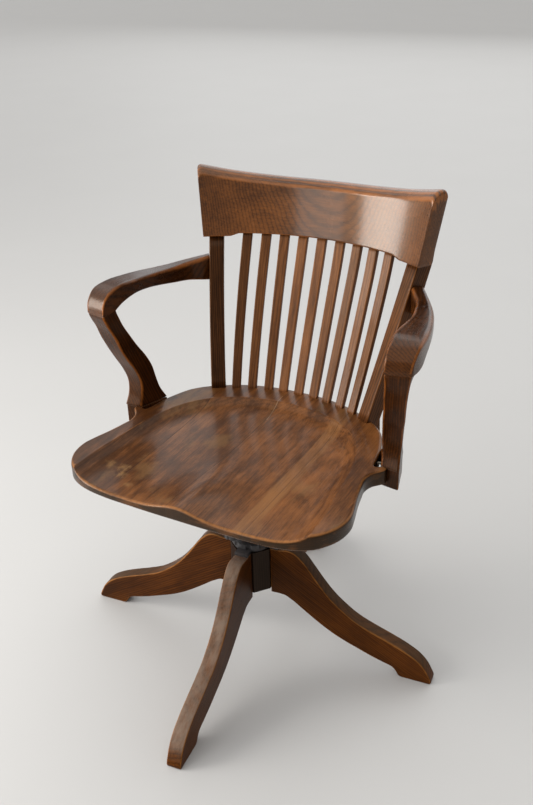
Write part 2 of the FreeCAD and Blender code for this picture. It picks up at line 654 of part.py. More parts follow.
# Swivel head: boss over the journal, bracket plate, cheeks for the pivot, two stops
zp0, pt = dim("plate_base"), dim("plate_thick")
boss = cyl("head_boss", S("head_boss_radius"), "(Dimensions.plate_base - Dimensions.head_base) * 1 mm", z=S("head_base"))
plate = box("head_plate", "(Dimensions.cheek_inner + Dimensions.cheek_thick) * 2 mm", "104 mm", S("plate_thick"),
            "-(Dimensions.cheek_inner + Dimensions.cheek_thick) * 1 mm", "-50 mm", S("plate_base"))
nose = box("head_nose", "44 mm", "60 mm", S("plate_thick"), "-22 mm", "-98 mm", S("plate_base"))
parts_head = [boss, plate, nose]
for sg, nm in ((1, "l"), (-1, "r")):
    xs = "Dimensions.cheek_inner * 1 mm" if sg > 0 else "-(Dimensions.cheek_inner + Dimensions.cheek_thick) * 1 mm"
    parts_head.append(box("cheek_" + nm, S("cheek_thick"), S("cheek_width"), "(Dimensions.pivot_height - Dimensions.plate_base) * 1 mm",
                          xs, "-Dimensions.cheek_width * 0.5 mm", S("plate_base")))
    parts_head.append(cyl("cheek_top_" + nm, "Dimensions.cheek_width * 0.5 mm", S("cheek_thick"), x=xs, z=S("pivot_height"), axis=AXIS_X))
parts_head.append(box("front_stop", "50 mm", "10 mm", "(Dimensions.seat_bottom - Dimensions.iron_thick - 0.3 - Dimensions.plate_base) * 1 mm",
                      "-25 mm", "-50 mm", S("plate_base")))
parts_head.append(box("rear_stop", "50 mm", "9 mm", "(Dimensions.seat_bottom - Dimensions.iron_thick - 12.3 - Dimensions.plate_base) * 1 mm",
                      "-25 mm", "44 mm", S("plate_base")))
# web under the nose
web = doc.addObject("Part::Wedge", "nose_web")
web.Xmin, web.Xmax, web.Ymin, web.Ymax, web.Zmin, web.Zmax = 0, 10, 0, 40, 0, 50
web.X2min, web.X2max, web.Z2min, web.Z2max = 0, 10, 49, 50
web.Placement = FreeCAD.Placement(V(-5, -20, 303), Rot(V(0, 0, 1), 0))
web_shape = Part.makePolygon([V(-5, -20, 310), V(-5, -20, 354), V(-5, -56, 354), V(-5, -20, 310)])
doc.removeObject("nose_web")
web = feature("head_web", Part.Face(web_shape).extrude(V(10, 0, 0)))
parts_head.append(web)
head_solid = fuse("head_solid", parts_head)
head_hole = cyl("head_hole", S("head_bore"), "100 mm", z="280 mm")
pivot_hole = cyl("pivot_hole", S("pivot_radius"), "120 mm", x="-60 mm", z=S("pivot_height"), axis=AXIS_X)
slot_a = cyl("rod_slot_a", "7 mm", "40 mm", y="(Dimensions.rod_offset - 2.5) * 1 mm", z="340 mm")
slot_b = cyl("rod_slot_b", "7 mm", "40 mm", y="(Dimensions.rod_offset + 2.5) * 1 mm", z="340 mm")
slot_c = box("rod_slot_c", "14 mm", "5 mm", "40 mm", "-7 mm", "(Dimensions.rod_offset - 2.5) * 1 mm", "340 mm")
head_cuts = fuse("head_cuts", [head_hole, pivot_hole, slot_a, slot_b, slot_c])
keep(cut("head_bored", head_solid, head_cuts), "swivel_head")
keep(cyl("pivot_pin_rod", S("pivot_radius"), "Dimensions.pivot_half * 2 mm", x="-Dimensions.pivot_half * 1 mm",
         z=S("pivot_height"), axis=AXIS_X), "pivot_pin")
collars = []
for sg, nm in ((1, "l"), (-1, "r")):
    xs = "(Dimensions.cheek_inner + Dimensions.cheek_thick) * 1 mm" if sg > 0 else "-Dimensions.pivot_half * 1 mm"
    ring = cyl("collar_disc_" + nm, "11 mm", "(Dimensions.pivot_half - Dimensions.cheek_inner - Dimensions.cheek_thick) * 1 mm",
               x=xs, z=S("pivot_height"), axis=AXIS_X)
    collars.append(cut("collar_ring_" + nm, ring, pivot_hole))
collar_group = doc.addObject("Part::Compound", "collar_group")
collar_group.Links = collars
keep(collar_group, "pivot_collars")

# Tension rod with its eye, pin, spring, cup and knob
rod_shank = cyl("rod_shank", S("rod_radius"), "(Dimensions.rod_pin_height - Dimensions.rod_base) * 1 mm", y=S("rod_offset"), z=S("rod_base"))
rod_eye = cyl("rod_eye", S("rod_eye_radius"), S("rod_eye_thick"), x="-Dimensions.rod_eye_thick * 0.5 mm", y=S("rod_offset"),
              z=S("rod_pin_height"), axis=AXIS_X)
rod_solid = fuse("rod_solid", [rod_shank, rod_eye])
rod_hole = cyl("rod_hole", "(Dimensions.rod_pin_radius + 0.05) * 1 mm", "40 mm", x="-20 mm", y=S("rod_offset"), z=S("rod_pin_height"),
               axis=AXIS_X)
keep(cut("rod_bored", rod_solid, rod_hole), "tension_rod")
keep(cyl("rod_pin_rod", S("rod_pin_radius"), "27 mm", x="-13.5 mm", y=S("rod_offset"), z=S("rod_pin_height"), axis=AXIS_X), "rod_pin")
cup_disc = cyl("cup_disc", S("cup_radius"), S("cup_thick"), y=S("rod_offset"), z="(Dimensions.spring_base - Dimensions.cup_thick) * 1 mm")
cup_hole = cyl("cup_hole", "(Dimensions.rod_radius + 0.05) * 1 mm", "40 mm", y=S("rod_offset"), z="285 mm")
keep(cut("cup_ring", cup_disc, cup_hole), "spring_cup")
knob_body = cyl("knob_body", S("knob_radius"), S("knob_height"), y=S("rod_offset"),
                z="(Dimensions.spring_base - Dimensions.cup_thick - Dimensions.knob_height - 0.1) * 1 mm")
knob_notches = []
for k in range(8):
    a = math.radians(45.0 * k)
    knob_notches.append(cyl("knob_notch_%d" % k, "4 mm", "40 mm", x="(Dimensions.knob_radius + 1.8) * %.6f mm" % math.cos(a),
                            y="Dimensions.rod_offset * 1 mm + (Dimensions.knob_radius + 1.8) * %.6f mm" % math.sin(a), z="280 mm"))
knob_cuts = fuse("knob_cuts", [cup_hole] + knob_notches)
keep(cut("knob_shaped", knob_body, knob_cuts), "tension_knob")
helix = doc.addObject("Part::Helix", "spring_helix")
bind(helix, Radius=S("spring_radius"), Height="(Dimensions.spring_height - Dimensions.spring_wire * 2.4) * 1 mm",
     Pitch="(Dimensions.spring_height - Dimensions.spring_wire * 2.4) / 5 * 1 mm",
     Placement__Base__y=S("rod_offset"), Placement__Base__z="(Dimensions.spring_base + Dimensions.spring_wire * 1.2) * 1 mm")
wire_circle = doc.addObject("Part::Circle", "spring_wire_section")
bind(wire_circle, Radius=S("spring_wire"))
wire_circle.Placement = FreeCAD.Placement(V(dim("spring_radius"), dim("rod_offset"), dim("spring_base") + dim("spring_wire") * 1.2),
                                          Rot(V(1, 0, 0), 90))
spring = doc.addObject("Part::Sweep", "spring_sweep")
spring.Sections = [wire_circle]
spring.Spine = (helix, [])
spring.Solid = True
spring.Frenet = True
keep(spring, "tilt_spring")

# ---------------------------------------------------------------- write files
doc.recompute()
bad = []
for obj in doc.Objects:
    if any(s in ("Invalid", "Error") for s in obj.State):
        bad.append("%s %s" % (obj.Name, obj.State))
for obj in NODES:
    if obj.Shape.isNull() or not obj.Shape.isValid():
        bad.append(obj.Label + " shape")
if bad:
    raise SystemExit("failed: " + "; ".join(bad))
os.makedirs("parts", exist_ok=True)
for obj in NODES:
    obj.Shape.exportStep("parts/%s.step" % obj.Label)
    bb = obj.Shape.BoundBox
    print("%-22s solids %d vol %9.1f  x %7.1f %7.1f  y %7.1f %7.1f  z %7.1f %7.1f" % (
        obj.Label, len(obj.Shape.Solids), obj.Shape.Volume, bb.XMin, bb.XMax, bb.YMin, bb.YMax, bb.ZMin, bb.ZMax))
print(len(NODES), "nodes")
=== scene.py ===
import json
import math
import bpy
import numpy as np
from mathutils import Matrix, Vector
from mathutils.geometry import delaunay_2d_cdt


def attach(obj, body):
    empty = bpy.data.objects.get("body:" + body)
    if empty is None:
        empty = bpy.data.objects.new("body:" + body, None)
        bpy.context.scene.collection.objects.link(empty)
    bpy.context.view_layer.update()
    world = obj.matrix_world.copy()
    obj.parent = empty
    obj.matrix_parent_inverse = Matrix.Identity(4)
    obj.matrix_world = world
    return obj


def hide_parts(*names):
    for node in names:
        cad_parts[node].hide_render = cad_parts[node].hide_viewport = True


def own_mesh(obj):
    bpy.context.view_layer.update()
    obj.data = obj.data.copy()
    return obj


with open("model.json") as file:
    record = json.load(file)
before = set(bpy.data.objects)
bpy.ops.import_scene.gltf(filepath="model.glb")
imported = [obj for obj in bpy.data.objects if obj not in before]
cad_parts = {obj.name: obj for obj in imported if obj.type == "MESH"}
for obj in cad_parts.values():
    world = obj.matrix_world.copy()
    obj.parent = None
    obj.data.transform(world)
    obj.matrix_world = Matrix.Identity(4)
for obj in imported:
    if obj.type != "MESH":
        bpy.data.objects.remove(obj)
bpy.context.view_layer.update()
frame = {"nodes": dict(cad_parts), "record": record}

scene = bpy.context.scene

# ------------------------------------------------------------------ camera
cam_data = bpy.data.cameras.new("camera")
cam_data.sensor_width = 36.0
cam_data.lens = 41.178
cam = bpy.data.objects.new("camera", cam_data)
scene.collection.objects.link(cam)
CR = (0.8771618, 0.4793749, -0.0280501)
CU = (-0.2020222, 0.4213924, 0.8840902)
CF = (-0.4356308, 0.7698234, -0.4664737)
cam.matrix_world = Matrix(((CR[0], CU[0], -CF[0], 0.7445), (CR[1], CU[1], -CF[1], -1.2459),
                           (CR[2], CU[2], -CF[2], 1.2990), (0, 0, 0, 1)))
scene.camera = cam
scene.view_settings.view_transform = "Standard"


# ------------------------------------------------------------- mesh helpers
def make_object(name, verts, faces, wear=None, smooth=True, extra=None):
    me = bpy.data.meshes.new(name)
    me.from_pydata([tuple(map(float, v)) for v in verts], [], [tuple(int(i) for i in f) for f in faces])
    me.validate()
    me.update()
    if wear is not None:
        a = me.attributes.new("wear", "FLOAT", "POINT")
        a.data.foreach_set("value", np.asarray(wear, np.float32))
    for key, vals in (extra or {}).items():
        a = me.attributes.new(key, "FLOAT", "POINT")
        a.data.foreach_set("value", np.asarray(vals, np.float32))
    me.polygons.foreach_set("use_smooth", [smooth] * len(me.polygons))
    o = bpy.data.objects.new(name, me)
    scene.collection.objects.link(o)
    return o


def unit(v):
    n = np.linalg.norm(v, axis=-1, keepdims=True)
    return v / np.maximum(n, 1e-12)


def hermite(P, n, t=None):
    # a smooth line through stations P (k, ...), sampled at n places evenly along its length
    P = np.asarray(P, float)
    k = len(P)
    flat = P.reshape(k, -1)
    if t is None:
        c = P.reshape(k, -1, P.shape[-1]).mean(axis=1) if P.ndim == 3 else P
        t = np.concatenate([[0], np.cumsum(np.linalg.norm(np.diff(c, axis=0), axis=1))])
    m = np.zeros_like(flat)
    for i in range(k):
        if 0 < i < k - 1:
            h0, h1 = t[i] - t[i - 1], t[i + 1] - t[i]
            d0, d1 = (flat[i] - flat[i - 1]) / h0, (flat[i + 1] - flat[i]) / h1
            m[i] = (d0 * h1 + d1 * h0) / (h0 + h1)
        elif i == 0:
            m[i] = (flat[1] - flat[0]) / (t[1] - t[0])
        else:
            m[i] = (flat[-1] - flat[-2]) / (t[-1] - t[-2])
    s = np.linspace(t[0], t[-1], n)
    j = np.clip(np.searchsorted(t, s, side="right") - 1, 0, k - 2)
    h = (t[j + 1] - t[j])[:, None]
    x = ((s - t[j])[:, None]) / h
    out = ((2 * x ** 3 - 3 * x ** 2 + 1) * flat[j] + (x ** 3 - 2 * x ** 2 + x) * h * m[j]
           + (-2 * x ** 3 + 3 * x ** 2) * flat[j + 1] + (x ** 3 - x ** 2) * h * m[j + 1])
    return out.reshape((n,) + P.shape[1:])


def ring_of(corners, radii, seg=5, flat=(0.0015, 0.005)):
    # corners (m, 3) of one section, rounded; returns points and how exposed each is to wear
    c = np.asarray(corners, float)
    m = len(c)
    pts, wear = [], []
    for i in range(m):
        p, a, b = c[i], c[i - 1], c[(i + 1) % m]
        la, lb = np.linalg.norm(a - p), np.linalg.norm(b - p)
        ua, ub = (a - p) / max(la, 1e-9), (b - p) / max(lb, 1e-9)
        r = min(radii[i], 0.44 * la, 0.44 * lb)
        fa = [min(r + f, 0.49 * la) for f in flat]
        fb = [min(r + f, 0.49 * lb) for f in flat]
        pts += [p + ua * fa[1], p + ua * fa[0]]
        wear += [0.0, 0.30]
        for s in range(seg + 1):
            x = s / seg
            q = ((1 - x) ** 3 * (p + ua * r) + 3 * (1 - x) ** 2 * x * (p + ua * r * 0.45)
                 + 3 * (1 - x) * x ** 2 * (p + ub * r * 0.45) + x ** 3 * (p + ub * r))
            pts.append(q)
            wear.append(0.55 + 0.45 * math.sin(math.pi * x))
        pts += [p + ub * fb[0], p + ub * fb[1]]
        wear += [0.30, 0.0]
    return np.array(pts), np.array(wear)


def inset(corners, d):
    c = np.asarray(corners, float)
    out = []
    for i in range(len(c)):
        ua, ub = unit(c[i - 1] - c[i]), unit(c[(i + 1) % len(c)] - c[i])
        s = math.sqrt(max(1e-6, 1 - float(ua @ ub) ** 2))
        out.append(c[i] + (ua + ub) * d / s)
    return np.array(out)


def rings_to_mesh(rings, wears):
    # rings (k, n, 3): a closed tube with a capped start and end
    k, n = len(rings), len(rings[0])
    verts = [p for r in rings for p in r]
    wear = [w for r in wears for w in r]
    faces = []
    for i in range(k - 1):
        for j in range(n):
            a, b = i * n + j, i * n + (j + 1) % n
            faces.append((a, b, b + n, a + n))
    for base, flip in ((0, True), ((k - 1) * n, False)):
        centre = np.mean(verts[base:base + n], axis=0)
        ci = len(verts)
        verts.append(centre)
        wear.append(0.0)
        for j in range(n):
            f = (base + j, base + (j + 1) % n, ci)
            faces.append(f[::-1] if flip else f)
    return verts, faces, wear


def outward(o):
    # turns the faces outward
    import bmesh
    bm = bmesh.new()
    bm.from_mesh(o.data)
    bmesh.ops.recalc_face_normals(bm, faces=bm.faces)
    bm.to_mesh(o.data)
    bm.free()
    o.data.update()
    return o


def sweep(name, stations, radii, n=None, seg=5, caps=(0.002, 0.002), straight=False, cap_wear=1.0):
    S = np.asarray(stations, float)
    if n is not None:
        if straight:
            t = np.linspace(0, 1, len(S))
            s = np.linspace(0, 1, n)
            S = np.array([[[np.interp(q, t, S[:, i, j]) for j in range(3)] for i in range(S.shape[1])] for q in s])
        else:
            S = hermite(S, n)
    rad = np.asarray(radii, float)
    if rad.ndim == 1:
        rad = np.repeat(rad[None], len(S), axis=0)
    elif len(rad) != len(S):
        q = np.linspace(0, 1, len(S))
        p = np.linspace(0, 1, len(rad))
        rad = np.stack([np.interp(q, p, rad[:, j]) for j in range(rad.shape[1])], 1)
    rings, wears = [], []

    def put(c, r, boost=0.0):
        a, w = ring_of(c, r, seg)
        rings.append(a)
        wears.append(np.clip(w + boost, 0, 1))

    l0 = np.linalg.norm(S[1].mean(0) - S[0].mean(0))
    l1 = np.linalg.norm(S[-1].mean(0) - S[-2].mean(0))
    steps = [(90, 0.4), (65, 0.8), (45, 1.0), (20, 0.7)]
    body = [s for s in S]
    if caps[0] > 0:
        for ph, bw in steps:
            a = math.radians(ph)
            q = caps[0] * (1 - math.cos(a))
            f = min(0.95, caps[0] * (1 - math.sin(a)) / l0)
            put(inset(S[0] + (S[1] - S[0]) * f, q), np.maximum(rad[0] - q, 0.0004), bw * cap_wear)
        body[0] = S[0] + (S[1] - S[0]) * min(0.95, caps[0] / l0)
    if caps[1] > 0:
        body[-1] = S[-1] + (S[-2] - S[-1]) * min(0.95, caps[1] / l1)
    for s, r in zip(body, rad):
        put(s, r)
    if caps[1] > 0:
        for ph, bw in steps[::-1]:
            a = math.radians(ph)
            q = caps[1] * (1 - math.cos(a))
            f = min(0.95, caps[1] * (1 - math.sin(a)) / l1)
            put(inset(S[-1] + (S[-2] - S[-1]) * f, q), np.maximum(rad[-1] - q, 0.0004), bw * cap_wear)
    v, f, w = rings_to_mesh(rings, wears)
    return outward(make_object(name, v, f, w))


def resample_closed(pts, step, keep_sharp=None):
    # even points round a closed line
    P = np.asarray(pts, float)
    Q = np.vstack([P, P[:1]])
    L = np.concatenate([[0], np.cumsum(np.linalg.norm(np.diff(Q, axis=0), axis=1))])
    n = max(12, int(round(L[-1] / step)))
    s = np.linspace(0, L[-1], n, endpoint=False)
    return np.stack([np.interp(s, L, Q[:, 0]), np.interp(s, L, Q[:, 1])], 1)


def area2(P):
    x, y = P[:, 0], P[:, 1]
    return 0.5 * float(np.sum(x * np.roll(y, -1) - y * np.roll(x, -1)))


def vertex_normals_2d(P):
    e = np.roll(P, -1, axis=0) - P
    n = unit(np.stack([-e[:, 1], e[:, 0]], 1))      # inward for a counter-clockwise line
    m = unit(n + np.roll(n, 1, axis=0))
    c = np.clip((m * n).sum(1), 0.5, 1.0)
    return m / c[:, None]


def inside_poly(P, q):
    x, y = q[:, 0][:, None], q[:, 1][:, None]
    x0, y0 = P[:, 0][None], P[:, 1][None]
    x1, y1 = np.roll(P[:, 0], -1)[None], np.roll(P[:, 1], -1)[None]
    cond = (y0 > y) != (y1 > y)
    with np.errstate(divide="ignore", invalid="ignore"):
        xi = (x1 - x0) * (y - y0) / (y1 - y0) + x0
    return (np.sum(cond & (x < xi), axis=1) % 2) == 1


def dist_poly(P, q):
    a = P
    b = np.roll(P, -1, axis=0)
    d = b - a
    dd = np.maximum((d ** 2).sum(1), 1e-18)
    best = np.full(len(q), 1e9)
    for i in range(len(a)):
        t = np.clip(((q - a[i]) @ d[i]) / dd[i], 0, 1)
        best = np.minimum(best, np.linalg.norm(q - a[i] - t[:, None] * d[i], axis=1))
    return best


def plate(name, outline, zt, zb, rt, rb, spacing, tf, seg=5, extra_pts=None, side_loops=3, wear_and_shade_fn=None):
    # a flat-ish board: outline (n, 2) counter-clockwise, top and bottom heights, rounded edges
    P = np.asarray(outline, float)
    if area2(P) < 0:
        P = P[::-1]
    n = len(P)
    N = vertex_normals_2d(P)
    rt = np.broadcast_to(np.asarray(rt, float), (n,))
    rb = np.broadcast_to(np.asarray(rb, float), (n,))
    verts, wear, rings_idx = [], [], []

    def add_ring(off, drop, zf, sign, w):
        q = P + N * off[:, None]
        z = zf(q[:, 0], q[:, 1]) - sign * drop
        idx = np.arange(len(verts), len(verts) + n)
        verts.extend(np.column_stack([q, z]))
        wear.extend([w] * n)
        return idx, q

    faces = []

    def cap(zf, r, sign):
        loops = []
        for k in range(seg + 1):
            ph = math.pi / 2 * k / seg
            idx, q = add_ring(r * (1 - math.cos(ph)), r * (1 - math.sin(ph)), zf, sign, 0.55 + 0.45 * math.sin(2 * ph))
            loops.append(idx)
        idx, q = add_ring(r + 0.0012, 0 * r, zf, sign, 0.25)
        loops.append(idx)
        for a, b in zip(loops[:-1], loops[1:]):
            for j in range(n):
                f = (a[j], a[(j + 1) % n], b[(j + 1) % n], b[j])
                faces.append(f if sign > 0 else f[::-1])
        # inner fill
        lo, hi = q.min(0), q.max(0)
        gx = np.arange(lo[0] + spacing / 2, hi[0], spacing)
        gy = np.arange(lo[1] + spacing / 2, hi[1], spacing * 0.87)
        G = np.array([(x + (spacing / 2 if j % 2 else 0), y) for j, y in enumerate(gy) for x in gx])
        if extra_pts is not None and sign > 0:
            E = np.asarray(extra_pts)
            if len(G):
                keepg = np.array([np.min(np.hypot(*(E - g).T)) > spacing * 0.55 for g in G])
                G = np.vstack([G[keepg], E])
            else:
                G = E
        if len(G):
            ok = inside_poly(q, G)
            G = G[ok]
            G = G[dist_poly(q, G) > min(spacing * 0.5, 0.002)]
        pts = [Vector(p) for p in q] + [Vector(g) for g in G]
        edges = [(j, (j + 1) % n) for j in range(n)]
        V2, E2, F2, ov, _, _ = delaunay_2d_cdt(pts, edges, [], 1, 1e-7)
        index = {}
        xy = np.array([tuple(v) for v in V2])
        heights = zf(xy[:, 0], xy[:, 1])
        for vi, origs in enumerate(ov):
            ring = [o_ for o_ in origs if o_ < n]
            if ring:
                index[vi] = int(loops[-1][ring[0]])
            else:
                index[vi] = len(verts)
                verts.append(np.array([xy[vi, 0], xy[vi, 1], heights[vi]]))
                wear.append(0.0)
        for f in F2:
            g = [index[i] for i in f]
            a = verts[g[0]], verts[g[1]], verts[g[2]]
            ccw = (a[1][0] - a[0][0]) * (a[2][1] - a[0][1]) - (a[1][1] - a[0][1]) * (a[2][0] - a[0][0]) > 0
            if ccw != (sign > 0):
                g = g[::-1]
            faces.append(tuple(g))
        return loops[0]

    top0 = cap(zt, rt, 1)
    bot0 = cap(zb, rb, -1)
    prev = top0
    for k in range(1, side_loops + 1):
        s = k / (side_loops + 1)
        idx = np.arange(len(verts), len(verts) + n)
        A = np.array([verts[i] for i in top0])
        B = np.array([verts[i] for i in bot0])
        verts.extend(A * (1 - s) + B * s)
        wear.extend([0.0 if 0.2 < s < 0.8 else 0.2] * n)
        for j in range(n):
            faces.append((idx[j], idx[(j + 1) % n], prev[(j + 1) % n], prev[j]))
        prev = idx
    for j in range(n):
        faces.append((bot0[j], bot0[(j + 1) % n], prev[(j + 1) % n], prev[j]))
    W = np.array(verts)
    wv = np.array(wear)
    if wear_and_shade_fn is not None:
        wv = np.clip(wv + wear_and_shade_fn(W), 0, 1)
    return outward(make_object(name, tf(W), faces, wv))


# ---------------------------------------------------------------- materials
class Nodes:
    def __init__(self, name):
        self.mat = bpy.data.materials.new(name)
        self.mat.use_nodes = True
        self.t = self.mat.node_tree
        self.t.nodes.clear()
        self.out = self.t.nodes.new("ShaderNodeOutputMaterial")
        self.bsdf = self.t.nodes.new("ShaderNodeBsdfPrincipled")
        self.t.links.new(self.bsdf.outputs[0], self.out.inputs[0])

    def new(self, kind, **props):
        nd = self.t.nodes.new(kind)
        for k, v in props.items():
            setattr(nd, k, v)
        return nd

    def put(self, sock, val):
        if hasattr(val, "is_output") or isinstance(val, bpy.types.NodeSocket):
            self.t.links.new(val, sock)
        else:
            sock.default_value = val

    def math(self, op, a, b=0.0, c=None, clamp=False):
        nd = self.new("ShaderNodeMath", operation=op)
        nd.use_clamp = clamp
        self.put(nd.inputs[0], a)
        self.put(nd.inputs[1], b)
        if c is not None:
            self.put(nd.inputs[2], c)
        return nd.outputs[0]

    def vmath(self, op, a, b=None, scale=None):
        nd = self.new("ShaderNodeVectorMath", operation=op)
        self.put(nd.inputs[0], a)
        if b is not None:
            self.put(nd.inputs[1], b)
        if scale is not None:
            self.put(nd.inputs["Scale"], scale)
        return nd.outputs["Value"] if op in ("DOT_PRODUCT", "LENGTH", "DISTANCE") else nd.outputs[0]

    def xyz(self, x, y, z):
        nd = self.new("ShaderNodeCombineXYZ")
        self.put(nd.inputs[0], x)
        self.put(nd.inputs[1], y)
        self.put(nd.inputs[2], z)
        return nd.outputs[0]

    def noise(self, vec, scale=1.0, detail=3.0, rough=0.5, dist=0.0):
        nd = self.new("ShaderNodeTexNoise")
        self.put(nd.inputs["Vector"], vec)
        nd.inputs["Scale"].default_value = scale
        nd.inputs["Detail"].default_value = detail
        nd.inputs["Roughness"].default_value = rough
        nd.inputs["Distortion"].default_value = dist
        return nd.outputs["Fac"]

    def ramp(self, fac, stops, mode="LINEAR"):
        nd = self.new("ShaderNodeValToRGB")
        nd.color_ramp.interpolation = mode
        e = nd.color_ramp.elements
        while len(e) > 1:
            e.remove(e[-1])
        e[0].position, e[0].color = stops[0][0], self.rgba(stops[0][1])
        for p, col in stops[1:]:
            q = e.new(p)
            q.color = self.rgba(col)
        self.put(nd.inputs[0], fac)
        return nd.outputs[0]

    @staticmethod
    def rgba(c):
        if isinstance(c, (int, float)):
            return (c, c, c, 1)
        return tuple(c) + (1,) if len(c) == 3 else tuple(c)

    def mix(self, fac, a, b, mode="MIX"):
        nd = self.new("ShaderNodeMix", data_type="RGBA", blend_type=mode)
        nd.clamp_factor = True
        self.put(nd.inputs[0], fac)
        for sock, v in ((nd.inputs[6], a), (nd.inputs[7], b)):
            self.put(sock, v if isinstance(v, bpy.types.NodeSocket) else self.rgba(v))
        return nd.outputs[2]

    def remap(self, v, a, b, c=0.0, d=1.0):
        nd = self.new("ShaderNodeMapRange")
        nd.clamp = True
        self.put(nd.inputs[0], v)
        for i, x in enumerate((a, b, c, d)):
            nd.inputs[i + 1].default_value = x
        return nd.outputs[0]

    def attr(self, name):
        nd = self.new("ShaderNodeAttribute", attribute_name=name)
        nd.attribute_type = "GEOMETRY"
        return nd.outputs["Fac"]

    def coords(self):
        return self.new("ShaderNodeTexCoord").outputs["Object"]

    def bump(self, height, strength=0.3, dist=0.001, normal=None):
        nd = self.new("ShaderNodeBump")
        nd.inputs["Strength"].default_value = strength
        nd.inputs["Distance"].default_value = dist
        self.put(nd.inputs["Height"], height)
        if normal is not None:
            self.put(nd.inputs["Normal"], normal)
        return nd.outputs[0]


